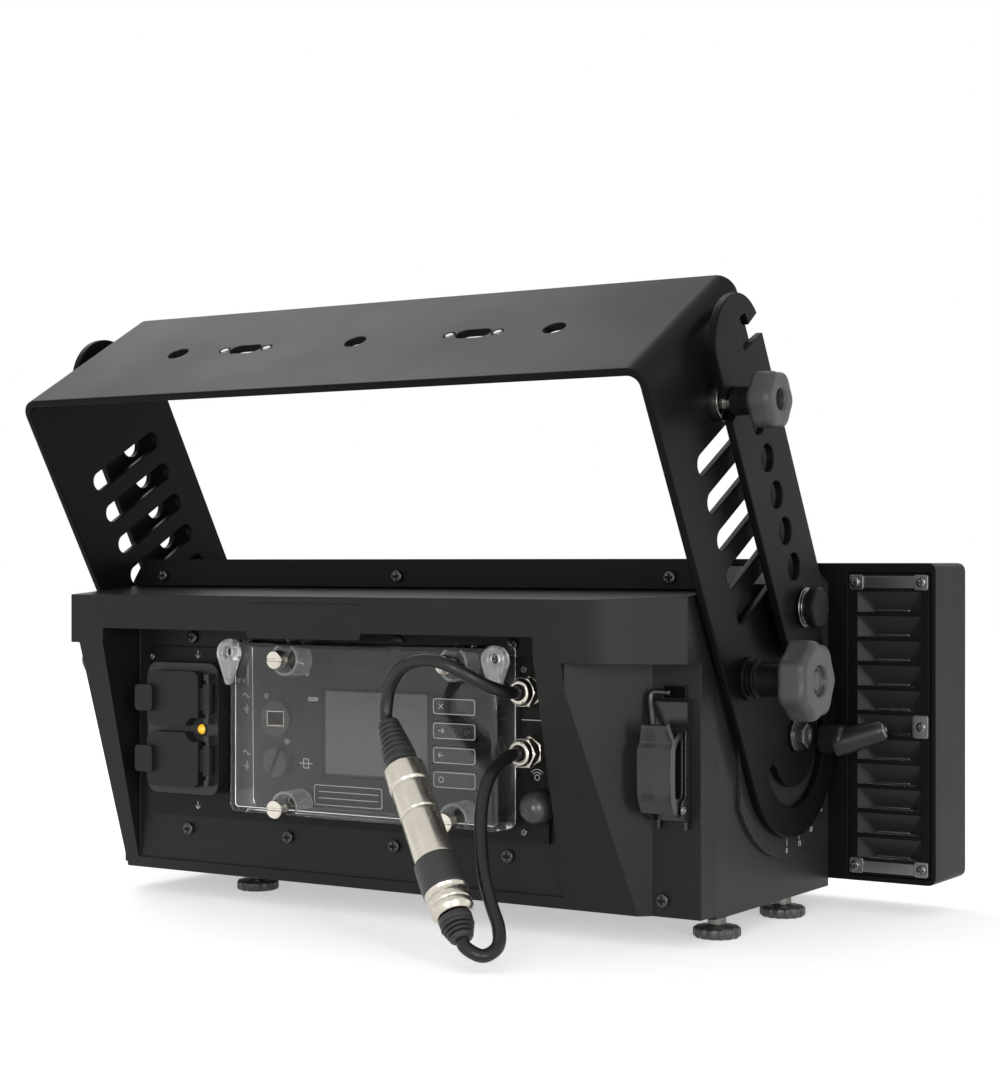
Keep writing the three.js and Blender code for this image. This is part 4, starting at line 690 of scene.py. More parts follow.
tip = arc(0, 0, arm_half, -90, -270, 40)
tip = blank(tip[:, 0], -tip[:, 1])
bends = flat_half + bend_long * np.arange(bend_steps + 1) / bend_steps
lower = np.stack([bends, np.full(len(bends), arm_half)], 1)
upper = np.stack([bends[::-1], np.full(len(bends), -arm_half)], 1)
right_half = np.vstack([lower, tip, upper])
yoke_outline = np.vstack([right_half, right_half[::-1] * [-1, 1]])
arc_slot_in, arc_slot_out = 216.3, 382.7
slot_round = 0.005
slot_mid = 0.031
arc_end = [slot_mid * np.array([math.cos(math.radians(a)), math.sin(math.radians(a))])
           for a in (arc_slot_in, arc_slot_out)]
arc_slot = polar_on_arm(np.vstack([
    arc(0, 0, 0.036, arc_slot_in, arc_slot_out, 30),
    arc(*arc_end[1], slot_round, arc_slot_out, arc_slot_out + 180, 8)[1:-1],
    arc(0, 0, 0.026, arc_slot_out, arc_slot_in, 30),
    arc(*arc_end[0], slot_round, arc_slot_in + 180, arc_slot_in + 360, 8)[1:-1],
]))
lock_at = (0.0535, -0.0317)
knob_at = (0.184, 0.003)
stud_at = (0.0618, 0.021)
stud_hole = 0.0049
row_steps = 0.084 + 0.020 * np.arange(5)
arm_holes = [pill(along, -0.0215, along, 0.026, slot_round) for along in row_steps]
arm_holes += [arc_slot, ring_of(0, 0, 0.0056), ring_of(*lock_at, 0.0044),
              ring_of(*stud_at, stud_hole)]
yoke_holes = [blank(h[:, 0], h[:, 1]) * [side, 1] for h in arm_holes for side in (1, -1)]
top_slot_x, top_pin_off = (-0.071, 0.071), 0.014
yoke_holes += [ring_of(x, 0, 0.0055) for x in (-0.117, 0.0, 0.117)]
for x in top_slot_x:
    yoke_holes.append(pill(x - 0.005, 0, x + 0.005, 0, 0.0045))
    yoke_holes += [ring_of(x + s * top_pin_off, 0, 0.0029, 20) for s in (-1, 1)]
bend_lines = [((s * u, arm_half), (s * u, -arm_half)) for u in bends for s in (1, -1)]
yoke = plate("yoke_sheet", [yoke_outline, *yoke_holes], yoke_gauge, 0.0009, folded, bend_lines)
# The yoke takes the darker coat copy: painted shade.
put(yoke, shaded_yoke_coat, "yoke", "black_coat", "yoke_bracket")


# Welded bosses: the link knob's boss, with its threaded stem, is bare bright metal, and
# the link stud's is coated with the yoke, in the darker coat copy that paints shade on it.
boss_rows = {
    "knob": [(tiny, -0.0005), (0.0090, -0.0005), (0.0090, 0.0060), (0.0040, 0.0060),
             (0.0040, 0.0265), (tiny, 0.0270)],
    "stud": [(stud_hole, -0.0005), (0.0090, -0.0005), (0.0090, 0.0060), (stud_hole, 0.0060),
             (stud_hole, -0.0005)],
}
for side, label in both_sides:
    for kind, at, material in (("knob", knob_at, screw_zinc), ("stud", stud_at, shaded_yoke_coat)):
        lathe(f"yoke_boss_{kind}_{label}", boss_rows[kind], 0.0004, (side * arm_out, *on_arm(*at)),
              (side, 0, 0), material, "yoke", "black_coat", sides=40)


# Bright pins pressed into the small holes beside the two slots of the yoke's top, each
# with an eased rim that stands a little proud of the sheet.
yoke_up = (0, -math.sin(lean), math.cos(lean))
for k, x in enumerate([x + s * top_pin_off for x in top_slot_x for s in (-1, 1)]):
    lathe(f"yoke_top_pin_{k}", [
        (tiny, -0.0022), (0.0024, -0.0022), (0.0026, -0.0018), (0.0026, 0.0015),
        (0.0021, 0.0021), (tiny, 0.0021)], 0.0004, (x, *on_arm(yoke_top - yoke_gauge / 2, 0)),
        yoke_up, screw_zinc, "yoke", "dark_steel", sides=28)


# Link plates: flat steel links on the stud, with five round holes, a notch for the
# knob's stud and a hook at the top that takes the next lamp's stud.
link_half = 0.025
link_top = 0.2035
link_in, link_out = 0.1955, 0.1995
link_mid = stud_at[1]
notch_half = 0.0049
hook = np.array([
    (0.1990, link_half + link_mid), (0.2000, 0.0336), (0.1994, 0.0326), (0.1994, 0.0250),
    (0.2004, 0.0240), (0.2140, 0.0240), (0.2150, 0.0250), (0.2150, 0.0326), (0.2140, 0.0336),
    (0.2084, 0.0346), (0.2094, link_mid + link_half - 0.001),
])
head_arc = arc(link_top, link_mid, link_half, 90, -90, 36)
head_arc = head_arc[head_arc[:, 0] > 0.2096]
notch = np.array([
    (knob_at[0] + notch_half, link_mid - link_half), (knob_at[0] + notch_half, 0.0059),
    (knob_at[0] + notch_half - 0.002, 0.0079), (knob_at[0] - notch_half + 0.002, 0.0079),
    (knob_at[0] - notch_half, 0.0059), (knob_at[0] - notch_half - 0.0026, link_mid - link_half),
])
link_outline = np.vstack([arc(*stud_at, link_half, -90, -270, 36), hook, head_arc, notch])
link_holes = [ring_of(along + 0.001, link_mid, 0.0068) for along in row_steps]
link_holes.append(ring_of(*stud_at, stud_hole))


def beside(side, middle):
    """Places flat arm points on a plane beside the yoke, at that distance from the middle."""
    def place(u, v, w):
        y, z = on_arm(u, v)
        return np.stack([side * (middle + w), y, z], 1)
    return place


def righted(piece):
    """Turns every face of a mirrored piece outwards again."""
    return rework(piece, lambda work: bmesh.ops.recalc_face_normals(work, faces=work.faces[:]))


def sheet(name, loops, thick, edge, place, material, slot, *nodes, body="lamp"):
    """Plate with all its faces outwards, put on its body."""
    made = righted(plate(name, loops, thick, edge, place))
    return put(made, material, body, slot, *nodes)


# The links take the darker coat copy: painted shade.
for side, label in both_sides:
    sheet(f"link_sheet_{label}", [link_outline, *link_holes], link_out - link_in, 0.0006,
          beside(side, (link_in + link_out) / 2), shaded_yoke_coat, "black_coat", f"link_plate_{label}",
          body=f"link_plate_{label}_part")


# Link studs: bright zinc with a groove, faced with a dark coated disc. Pivot bolts: blackened
# steel with washers and a hexagon head.
def six_flats(angle):
    """Radius of a hexagon of corner radius 1: the flats cut the circle by cos 30 / cos turn."""
    turn = (angle + math.pi / 6) % (math.pi / 3) - math.pi / 6
    return np.cos(math.pi / 6) / np.cos(turn)


for side, label in both_sides:
    stud_foot, pivot_foot, outward = (0, *on_arm(*stud_at)), (0, *pivot), (side, 0, 0)
    lathe(f"link_stud_turned_{label}", [
        (tiny, 0.1854), (0.0045, 0.1854), (0.0045, 0.1999), (0.0094, 0.1999), (0.0100, 0.2005),
        (0.0100, 0.2014), (0.0084, 0.2017), (0.0084, 0.2034), (0.0098, 0.2037), (0.0098, 0.2078),
        (0.0090, 0.2084), (tiny, 0.2084),
    ], 0.0004, stud_foot, outward, screw_zinc, "yoke", "dark_steel", f"link_stud_{label}")
    lathe(f"link_stud_face_{label}", [
        (tiny, 0.2040), (0.0096, 0.2040), (0.0100, 0.2044), (0.0100, 0.2078), (0.0091, 0.2086),
        (tiny, 0.2086)], 0.0003, stud_foot, outward, coat, "yoke", "black_coat")
    lathe(f"pivot_washers_{label}", [
        (0.0050, 0.1762), (0.0050, 0.1894), (0.0084, 0.1894), (0.0084, 0.1908), (0.0076, 0.1910),
        (0.0076, 0.1920), (0.0050, 0.1920), (tiny, 0.1921), (tiny, 0.1762),
    ], 0.0003, pivot_foot, outward, black_steel, "lamp", "dark_steel", f"pivot_bolt_{label}")
    lathe(f"pivot_bolt_head_{label}", [
        (tiny, 0.1915), (0.0064, 0.1915), (0.0064, 0.1956), (0.0055, 0.1960), (0.0030, 0.1960),
        (0.0026, 0.1950), (tiny, 0.1950)], 0.0003, pivot_foot, outward, black_steel, "lamp",
        "dark_steel", sides=60, sharp=25,
        wave=lambda a, r, h: np.where(r > 0.0050, six_flats(a), 1))


# Hand knobs: dark coated collars and grained grey plastic grips with scallops, chamfered
# ends and a dimple. The link knob has six lobes, the larger lock knob has seven.
knob_plastic = finish("knob_plastic", (0.034, 0.035, 0.0325), 0.46, grain=(1300.0, 0.00007),
                      mottle=(90.0, 0.12))
collar_end = 0.2105
knob_rows = {
    "link_knob": [
        (0.0044, 0.1999), (0.0070, 0.1999), (0.0066, 0.2040), (0.0068, 0.2100), (0.0104, 0.2106),
        (0.0132, 0.2118), (0.0140, 0.2134), (0.0140, 0.2206), (0.0134, 0.2224), (0.0118, 0.2234),
        (0.0058, 0.2234), (0.0048, 0.2226), (0.0045, 0.2172), (tiny, 0.2170)],
    "lock_knob": [
        (tiny, 0.1854), (0.0040, 0.1854), (0.0040, 0.1894), (0.0104, 0.1894), (0.0104, 0.1914),
        (0.0076, 0.1916), (0.0076, 0.1940), (0.0100, 0.1944), (0.0103, 0.1958), (0.0085, 0.1968),
        (0.0084, 0.2060), (0.0090, 0.2104), (0.0150, 0.2116), (0.0188, 0.2130), (0.0195, 0.2150),
        (0.0195, 0.2236), (0.0188, 0.2256), (0.0165, 0.2268), (0.0082, 0.2268), (0.0074, 0.2262),
        (0.0070, 0.2240), (0.0052, 0.2240), (0.0048, 0.2250), (tiny, 0.2252)],
}


def lobed(lobes, depth, grip):
    """Factor that cuts scallops into the grip only: a raised cosine between the lobes."""
    def wave(a, r, h):
        reach = np.clip((r / grip - 0.5) / 0.4, 0, 1)
        on_grip = np.where(h > collar_end - 0.0002, 1.0, 0.0)
        return 1 - depth * reach * on_grip * (0.5 - 0.5 * np.cos(lobes * a))
    return wave


for side, label in both_sides:
    for name, at, lobes, depth in (
        ("link_knob", knob_at, 6, 0.10),
        ("lock_knob", lock_at, 7, 0.09),
    ):
        rows = knob_rows[name]
        collar = [row for row in rows if row[1] < collar_end]
        collar_top = collar[-1][1]
        body, foot, outward = f"{name}_{label}_part", (0, *on_arm(*at)), (side, 0, 0)
        lathe(f"{name}_collar_{label}", [*collar, (tiny, collar_top)], 0.0004, foot, outward,
              coat, body, "black_plastic", sharp=40)
        lathe(f"{name}_grip_{label}", [(tiny, collar_top - 0.0004), *rows[len(collar) - 1:]],
              0.0009, foot, outward, knob_plastic, body, "knob_plastic", f"{name}_{label}",
              sides=lobes * 16, sharp=40, wave=lobed(lobes, depth, max(r for r, _ in rows)))


# Clamp levers: near black moulded handle that slants out from a round hub on a stud
# through the yoke's arc slot, with a steel screw in the handle's end.
lever_plastic = finish("lever_plastic", (0.0105, 0.0108, 0.0102), 0.36, grain=(1200.0, 0.00004),
                       mottle=(60.0, 0.15), level=0.35)
lever_turn = math.radians(-7)
lever_y = pivot[0] + slot_mid * math.cos(lever_turn)
lever_z = pivot[1] + slot_mid * math.sin(lever_turn)
handle_from, handle_to = (0.197, -0.001, -0.0025), (0.2225, 0.004, 0.0055)
for side, label in both_sides:
    body = f"clamp_lever_{label}_part"
    lathe(f"clamp_lever_hub_{label}", [
        (tiny, 0.1762), (0.0035, 0.1762), (0.0035, 0.1894), (0.0068, 0.1894), (0.0074, 0.1902),
        (0.0074, 0.2010), (0.0066, 0.2030), (0.0034, 0.2030), (0.0030, 0.2022), (tiny, 0.2022),
    ], 0.0005, (0, lever_y, lever_z), (side, 0, 0), lever_plastic, body, "black_plastic",
        f"clamp_lever_{label}", sides=40)
    root, tip_at = (np.array([side * out, lever_y + back, lever_z + up])
                    for out, back, up in (handle_from, handle_to))
    long = float(np.linalg.norm(tip_at - root))
    lathe(f"clamp_lever_handle_{label}", [
        (tiny, 0.0), (0.0070, 0.0), (0.0070, 0.0060), (0.0060, long - 0.0034),
        (0.0056, long - 0.0004), (0.0048, long - 0.0004), (0.0046, long - 0.0014),
        (tiny, long - 0.0014)], 0.0006, root, tip_at - root, lever_plastic, body,
        "black_plastic", sides=40, sharp=40)
    lathe(f"clamp_lever_screw_{label}", [
        (tiny, -0.0020), (0.0045, -0.0020), (0.0045, -0.0004), (0.0038, 0.0003),
        (0.0017, 0.0003), (0.0015, -0.0012), (tiny, -0.0012)], 0.0003, tip_at, tip_at - root,
        screw_zinc, body, "dark_steel", sides=40, sharp=40)


# Levelling feet: rubber discs with a scalloped rim, on zinc plated threaded necks that
# screw into the floor.
foot_rubber = finish("foot_rubber", (0.045, 0.0455, 0.043), 0.34, grain=(1100.0, 0.00004),
                     mottle=(80.0, 0.2), level=0.6)
foot_x = {"left": -0.112, "right": 0.172}
foot_y = {"rear": 0.073 - shift_y, "front": 0.147 - shift_y}
for label, x in foot_x.items():
    for row, y in foot_y.items():
        body, foot, upward = f"foot_{row}_{label}_part", (x, y, 0), (0, 0, 1)
        lathe(f"foot_disc_{row}_{label}", [
            (tiny, 0.0), (0.0104, 0.0), (0.0117, 0.0011), (0.0117, 0.0045), (0.0107, 0.0056),
            (0.0058, 0.0058), (0.0048, 0.0062), (tiny, 0.0062),
        ], 0.0006, foot, upward, foot_rubber, body, "black_rubber", f"foot_{row}_{label}",
            sides=144, sharp=60,
            wave=lambda a, r, h: 1 - np.clip((r - 0.0060) / 0.0050, 0, 1) * 0.07
            * (0.5 + 0.5 * np.cos(14 * a)))
        lathe(f"foot_neck_{row}_{label}", [
            (tiny, 0.0060), (0.0044, 0.0060), (0.0046, 0.0066), (0.0046, 0.0112),
            (0.0042, 0.0116), (0.0030, 0.0116), (0.0030, 0.0155), (tiny, 0.0155),
        ], 0.0004, foot, upward, screw_zinc, body, "dark_steel", sides=32)


# Connection panel: thin satin black sheet in front of the recess floor.
# White ink is a film on it: frames, rules and plain signs, with no words.
panel_black = finish("panel_satin", (0.0040, 0.0040, 0.0038), 0.36, grain=(1500.0, 0.00001),
                     mottle=(35.0, 0.12), level=0.17)
dressed("connection_panel", panel_black, "panel_black", 0.0003, 2)
ink = finish("white_ink", (0.56, 0.56, 0.54), 0.55, grain=(3000.0, 0.000004), mottle=(400.0, 0.08))
ink_wide = 0.00036
ink_tall = 0.00006
panel_y = 0.0276 - shift_y


def bars(name, lines, place, wide=ink_wide):
    """Printed lines in one mesh: each polyline is swept by a flat bar with mitred corners.

    lines are (points, closed), place(u, v, w) takes flat places, w above the face, to the lamp.
    """
    verts, faces, first = [], [], 0
    for points, closed in lines:
        p = np.asarray(points, float)
        count = len(p)
        ahead = np.roll(p, -1, axis=0) - p
        behind = p - np.roll(p, 1, axis=0)
        if not closed:
            ahead[-1], behind[0] = behind[-1], ahead[0]
        ahead /= np.linalg.norm(ahead, axis=1)[:, None]
        behind /= np.linalg.norm(behind, axis=1)[:, None]
        out = np.stack([ahead[:, 1] + behind[:, 1], -(ahead[:, 0] + behind[:, 0])], 1)
        out /= np.maximum((out**2).sum(1) / 2, 0.5)[:, None]
        left, right = p + out * wide / 2, p - out * wide / 2
        flat = np.stack([left, left, right, right], 1)
        rise = np.broadcast_to(np.array([-ink_tall, ink_tall, ink_tall, -ink_tall]), (count, 4))
        verts.append(place(flat[..., 0].ravel(), flat[..., 1].ravel(), rise.ravel()))
        row, side = np.meshgrid(np.arange(count if closed else count - 1), np.arange(4),
                                indexing="ij")
        a, b = row * 4 + side, row * 4 + (side + 1) % 4
        after = ((row + 1) % count) * 4
        quads = np.stack([a, b, after + (side + 1) % 4, after + side], -1).reshape(-1, 4) + first
        faces += quads.tolist()
        if not closed:
            faces += [[first + i for i in (3, 2, 1, 0)],
                      [first + (count - 1) * 4 + i for i in (0, 1, 2, 3)]]
        first += count * 4
    return righted(surface(name, np.vstack(verts), faces, smooth=False))


def box_loop(left, right, low, high, radius, steps=6):
    """Rounded rectangle, counterclockwise from its right side."""
    corners = ((right - radius, high - radius, 0), (left + radius, high - radius, 90),
               (left + radius, low + radius, 180), (right - radius, low + radius, 270))
    return np.vstack([arc(u, v, radius, a, a + 90, steps) for u, v, a in corners])


def facing(y, side=1, way=-1):
    """Places (x, z) points on a plane square to y, w against y unless the way is 1."""
    return lambda u, v, w: np.stack([side * u, y + way * w, v], 1)


def upright(side, out, middle=0.0, y=0.0, z=0.0):
    """Places (y, z) points on a plane square to x, w away from the middle."""
    return lambda u, v, w: np.stack([middle + side * (out + w), y + u, z + v], 1)


def arrow(x, z, long, turn):
    """Arrow as three strokes, pointing along the angle."""
    angle = math.radians(turn)
    ahead = np.array([math.cos(angle), math.sin(angle)])
    aside = np.array([-ahead[1], ahead[0]])
    end = np.array([x, z]) + ahead * long / 2
    wing = 0.38 * long
    return [([end - ahead * long, end], False),
            ([end - (ahead - aside) * wing, end, end - (ahead + aside) * wing], False)]


prints = [
    (box_loop(-0.0381, 0.0055, 0.0552, 0.0655, 0.0014), True),
    ([(-0.0355, 0.0622), (0.0030, 0.0622)], False),
    ([(-0.0355, 0.0588), (0.0030, 0.0588)], False),
    ([(0.0890, 0.1047), (0.1030, 0.1047)], False),
    (ring_of(0.0978, 0.0770, 0.0013, 20), True),
    (arc(0.0978, 0.0770, 0.0026, 35, 145, 8), False),
    (arc(0.0978, 0.0770, 0.0040, 35, 145, 8), False),
    ([(-0.0452, 0.0788), (-0.0420, 0.0788), (-0.0420, 0.0740), (-0.0452, 0.0740)], True),
    ([(-0.0480, 0.0764), (-0.0392, 0.0764)], False),
]
for x, z in ((0.0978, 0.1302), (-0.1166, 0.1318), (-0.1166, 0.0508)):
    prints += arrow(x, z, 0.0042, 270)
sign_x, sign_stem, line_step = -0.0889, 0.0072, 0.0011
wave = np.linspace(0, 1, 13)
for z in (0.1112, 0.0800):
    prints.append((np.stack([-0.0915 + 0.0052 * wave, z + 0.0011 * np.sin(wave * 2 * np.pi)], 1),
                   False))
    prints.append(([(sign_x, z - 0.0045), (sign_x, z - sign_stem)], False))
    for k, half in enumerate((0.0022, 0.0014, 0.0006)):
        low = z - sign_stem - k * line_step
        prints.append(([(sign_x - half, low), (sign_x + half, low)], False))
for left in -0.0416 + 0.0022 * np.arange(3):
    prints.append((box_loop(left, left + 0.0015, 0.1098, 0.1113, 0.0002, 2), True))
put(bars("panel_prints", prints, facing(panel_y)), ink, "lamp", "white_board")
panel_fixings = [(-0.0423, 0.1243), (-0.0423, 0.0599), (-0.0916, 0.1193), (-0.0699, 0.1115),
                 (-0.0560, 0.0875), (0.0905, 0.1292), (0.0905, 0.0500), (-0.1490, 0.1300)]
cross_screws("panel_screws", [(x, panel_y, z) for x, z in panel_fixings], 0.0017, 0.0008,
             screw_zinc)


# Tilt scales: short printed marks every 15 degrees near the scale plates' round foot,
# each with its number. The plates themselves are coated steel, drawn in the lighter coat copy that
# paints on the light falling on them.
digit_shares = {
    "0": [(np.stack([0.3 + 0.27 * np.cos(t), 0.5 + 0.5 * np.sin(t)], 1), True)
          for t in [np.linspace(0, 2 * np.pi, 17)[:-1]]],
    "1": [([(0.12, 0.78), (0.34, 1.0), (0.34, 0.0)], False)],
    "3": [(np.vstack([arc(0.27, 0.75, 0.25, 150, -80, 8), arc(0.27, 0.26, 0.27, 80, -150, 8)]),
           False)],
    "4": [([(0.44, 0.0), (0.44, 1.0), (0.0, 0.3), (0.62, 0.3)], False)],
    "5": [(np.vstack([[(0.52, 1.0), (0.1, 1.0)], arc(0.26, 0.32, 0.32, 125, -150, 9)]), False)],
    "6": [(np.vstack([[(0.45, 1.0), (0.14, 0.6)], arc(0.3, 0.29, 0.29, 150, 510, 14)[:-1]]),
           False)],
}
scale_numbers = (0, 15, 30, 45, 60)
scale_out = 0.1843
tick_in, tick_out, digit_gap = 0.0520, 0.0560, 0.0022
digit_tall, digit_pitch, digit_narrow = 0.0024, 0.0019, 0.9
marks = []
for number in scale_numbers:
    turn = math.radians(number - 90)
    out = np.array([math.cos(turn), math.sin(turn)])
    marks.append(([out * tick_in, out * tick_out], False))
    text = str(number)
    for k, digit in enumerate(text):
        corner = out * (tick_out + digit_gap)
        corner = corner + [(k - len(text) / 2) * digit_pitch, -digit_tall / 2]
        marks += [(np.asarray(points) * digit_tall * [digit_narrow, 1] + corner, closed)
                  for points, closed in digit_shares[digit]]
for side, label in both_sides:
    dressed(f"scale_plate_{label}", lit_side_coat, "black_coat", 0.0005, 2)
    put(bars(f"scale_marks_{label}", marks, upright(side, scale_out, 0.0, *pivot), 0.0004), ink,
        "lamp", "white_board")


# Mains unit: moulded block with two round sockets, each behind a sprung rubber flap
# on a hinge rod, and a lit amber lamp between them.
unit_plastic = finish("unit_plastic", (0.0175, 0.0190, 0.0180), 0.44, grain=(1400.0, 0.00004),
                      mottle=(60.0, 0.15), level=0.4)
flap_rubber = finish("flap_rubber", (0.0085, 0.0105, 0.0100), 0.55, grain=(900.0, 0.00005),
                     mottle=(110.0, 0.22), level=0.26)
dressed("mains_block", unit_plastic, "black_plastic", 0.0014, 4)
for kind in ("input", "output"):
    dressed(f"mains_{kind}_socket", moulded, "black_plastic", 0.0003, 1)
    dressed(f"mains_{kind}_flap", flap_rubber, "black_rubber", 0.0010, 4)
amber = finish("amber_lens", (0.80, 0.42, 0.03), 0.18, grain=(2000.0, 0.000004),
               mottle=(200.0, 0.05), level=0.6,
               more={"Emission Color": (1.0, 0.55, 0.04, 1), "Emission Strength": 0.55})
lamp_foot, rearward = (-0.106, 0.0248 - shift_y, 0.0926), (0, -1, 0)
lathe("mains_lamp_dome", [
    (tiny, 0.0), (0.0028, 0.0), (0.0028, 0.0055), (0.0024, 0.0070), (0.0014, 0.0079),
    (tiny, 0.0082)], 0.0006, lamp_foot, rearward, amber, "lamp", "amber_lens", "mains_lamp",
    sides=40, sharp=None)
lathe("mains_lamp_ring", [
    (0.0029, 0.0060), (0.0029, 0.0071), (0.0033, 0.0074), (0.0037, 0.0070), (0.0037, 0.0060),
    (0.0029, 0.0060)], 0.0002, lamp_foot, rearward, unit_plastic, "lamp", "black_plastic",
    sides=40, sharp=None)


# Clear cover: a tray of clear plastic, moulded in one with four open wells round the
# thumb screws and a thick rounded ear with an eye at each top corner.
clear = finish("clear_plastic", (0.93, 0.945, 0.945), 0.02, grain=(25.0, 0.000002),
               mottle=(20.0, 0.01), more={"Transmission Weight": 1.0, "IOR": 1.36})
# Painted light: the wells and ears use a whiter, less clear copy of the clear plastic, which paints
# on the bright glints at the cover's edges.
clear_edge_painted_glint = finish("clear_edge_painted_glint", (0.97, 0.98, 0.98), 0.10, grain=(600.0, 0.00002),
                    mottle=(60.0, 0.01), level=0.6,
                    more={"Transmission Weight": 0.82, "IOR": 1.49})
cover_left, cover_right = -0.081, 0.086
cover_low, cover_high = 0.051, 0.1415
cover_round = 0.004
tray_rows = [(3.4, 10.0), (1.9, 10.15), (0.9, 10.7), (0.25, 11.6), (0.0, 13.0), (0.0, 26.8),
             (0.4, 27.2), (2.0, 27.2), (2.4, 26.8), (2.4, 14.8), (2.6, 13.6), (3.2, 12.8),
             (4.2, 12.4)]
tray_verts = []
for inset, y in tray_rows:
    cut = inset / 1000
    loop = box_loop(cover_left + cut, cover_right - cut, cover_low + cut, cover_high - cut,
                    max(cover_round - cut * 0.6, 0.0012), 8)
    tray_verts.append(np.stack([loop[:, 0], np.full(len(loop), y / 1000 - shift_y), loop[:, 1]], 1))
tray = surface("cover_tray", np.vstack(tray_verts),
               grid_faces(len(tray_rows), len(tray_verts[0])))
put(sharpen(righted(tray), 50), clear, "lamp", "clear_plastic", "clear_cover")
thumb_x = {"left": -0.045429, "right": 0.058946}
thumb_z = {"lower": 0.055, "upper": 0.1314}
well_out, well_in, well_long, well_y = 0.0086, 0.0073, 0.0125, 0.0188
well_open = {"lower": (-8, 188), "upper": (122, 418)}
for column, x in thumb_x.items():
    for row, z in thumb_z.items():
        start, end = well_open[row]
        sector = np.vstack([arc(x, z, well_out, start, end, 36),
                            arc(x, z, well_in, end, start, 36)])
        sheet(f"cover_well_{row}_{column}", [sector], well_long, 0.0004,
              facing(well_y - shift_y, way=1), clear_edge_painted_glint, "clear_plastic")
ear_z, ear_y, ear_radius, ear_tip, ear_tip_down = 0.1341, 0.0100, 0.0072, 0.0018, 0.0150
eye_radius, eye_up = 0.0027, 0.0006
for column, x in (("left", -0.080), ("right", 0.085)):
    ear = np.vstack([arc(x, ear_z, ear_radius, -25, 205, 30),
                     arc(x, ear_z - ear_tip_down, ear_tip, 205, 335, 10)])
    eye = ring_of(x, ear_z + eye_up, eye_radius, 28)
    sheet(f"cover_ear_{column}", [ear, eye], 0.0058, 0.0016, facing(ear_y - shift_y, way=1),
          clear_edge_painted_glint, "clear_plastic")


# Thumb screws: nickel plated brass with a fine knurl and a slot across the face. Each
# stands in a well of the clear cover and turns on its own body.
bright_nickel = finish("bright_nickel", (0.66, 0.62, 0.55), 0.20, grain=(2400.0, 0.000008),
                       mottle=(160.0, 0.08), metal=1.0, rough_swing=0.25)


def slotted(half, deep, top, turn=0.0):
    """Sinks the face by the slot's depth where a point lies within the slot's half width."""
    cos, sin = math.cos(math.radians(turn)), math.sin(math.radians(turn))

    def dip(u, v, h):
        aside = np.abs(v * cos - u * sin)
        return deep * np.clip((half * 1.15 - aside) / (half * 0.3), 0, 1) * (h > top - deep * 0.6)
    return dip


def faced(profile, top, rim, rings=14):
    """Profile whose end face is split into rings, so that a slot can sink into it."""
    radii = np.linspace(rim, tiny, rings)
    return np.vstack([profile, np.stack([radii, np.full(rings, top)], 1)])


thumb_top, thumb_y = 0.0065, 0.0096
thumb_side = eased([
    (tiny, -0.0150), (0.0023, -0.0150), (0.0023, 0.0001), (0.0043, 0.0001), (0.0049, 0.0006),
    (0.0049, 0.0058), (0.0044, thumb_top)], 0.0003)
for column, x in thumb_x.items():
    for row, z in thumb_z.items():
        node = f"cover_screw_{row}_{column}"
        screw = turned(
            f"{node}_knurled", faced(thumb_side, thumb_top, 0.0042), (x, thumb_y - shift_y, z),
            rearward, 120, dip=slotted(0.0006, 0.0010, thumb_top),
            wave=lambda a, r, h: 1 - 0.022 * ((r > 0.0046) & (h > 0.0010) & (h < 0.0056))
            * (0.5 + 0.5 * np.cos(30 * a)))
        put(sharpen(screw, 45), bright_nickel, body_of[node], "nickel", node)


# Network socket: round black shell with a metal lined opening and eight contacts.
# The fuse cap beside it has a slanted slot in a shallow dish.
net_x, net_z = -0.06296, 0.0995
net_radius, hole_half_x, hole_half_z, lining_gauge = 0.0098, 0.0058, 0.0040, 0.0004
hole, lining = ([(net_x + a * (hole_half_x - cut), net_z + b * (hole_half_z - cut))
                 for a, b in ((1, -1), (1, 1), (-1, 1), (-1, -1))] for cut in (0, lining_gauge))
sheet("network_socket_shell", [ring_of(net_x, net_z, net_radius, 72), hole], 0.0140, 0.0009,
      facing(0.0326 - shift_y, way=1), unit_plastic, "black_plastic", "network_socket")
lathe("network_socket_back", [
    (tiny, 0.0), (net_radius, 0.0), (net_radius, 0.0041), (tiny, 0.0041)], 0.0003,
    (net_x, 0.0395 - shift_y, net_z), (0, 1, 0), moulded, "lamp", "black_plastic")
sheet("network_socket_lining", [hole, lining], 0.0110, 0.0001, facing(0.0318 - shift_y, way=1),
      bright_nickel, "nickel")
gold = finish("contact_gold", (0.72, 0.50, 0.18), 0.25, grain=(2000.0, 0.000004), metal=1.0)
contacts, contact_pitch = 8, 0.00102
for k in range(contacts):
    x = net_x + (k - (contacts - 1) / 2) * contact_pitch
    run = smooth_route([(x, y - shift_y, net_z - drop) for y, drop in (
        (0.0292, 0.0034), (0.0340, 0.0030), (0.0388, 0.0012))], 6)
    put(tube(f"network_contact_{k}", run, 0.0002, 8, aside=(1, 0, 0)), gold, "lamp", "nickel")
fuse_top = 0.0146
fuse_rows = eased([
    (tiny, 0.0), (0.0060, 0.0), (0.0060, 0.0085), (0.0078, 0.0095), (0.0082, 0.0105),
    (0.0082, 0.0138), (0.0074, 0.0150), (0.0064, fuse_top)], 0.0004)
fuse = turned("fuse_cap_turned", faced(fuse_rows, fuse_top, 0.0062, 22),
              (-0.061795, 0.0386 - shift_y, 0.0762), rearward, 96,
              wave=lambda a, r, h: 1 - 0.012 * ((r > 0.0079) & (h > 0.010)) * (np.cos(24 * a) > 0),
              dip=slotted(0.0009, 0.0020, fuse_top, 65))
put(sharpen(fuse, 45), unit_plastic, body_of["fuse_cap"], "black_plastic", "fuse_cap")


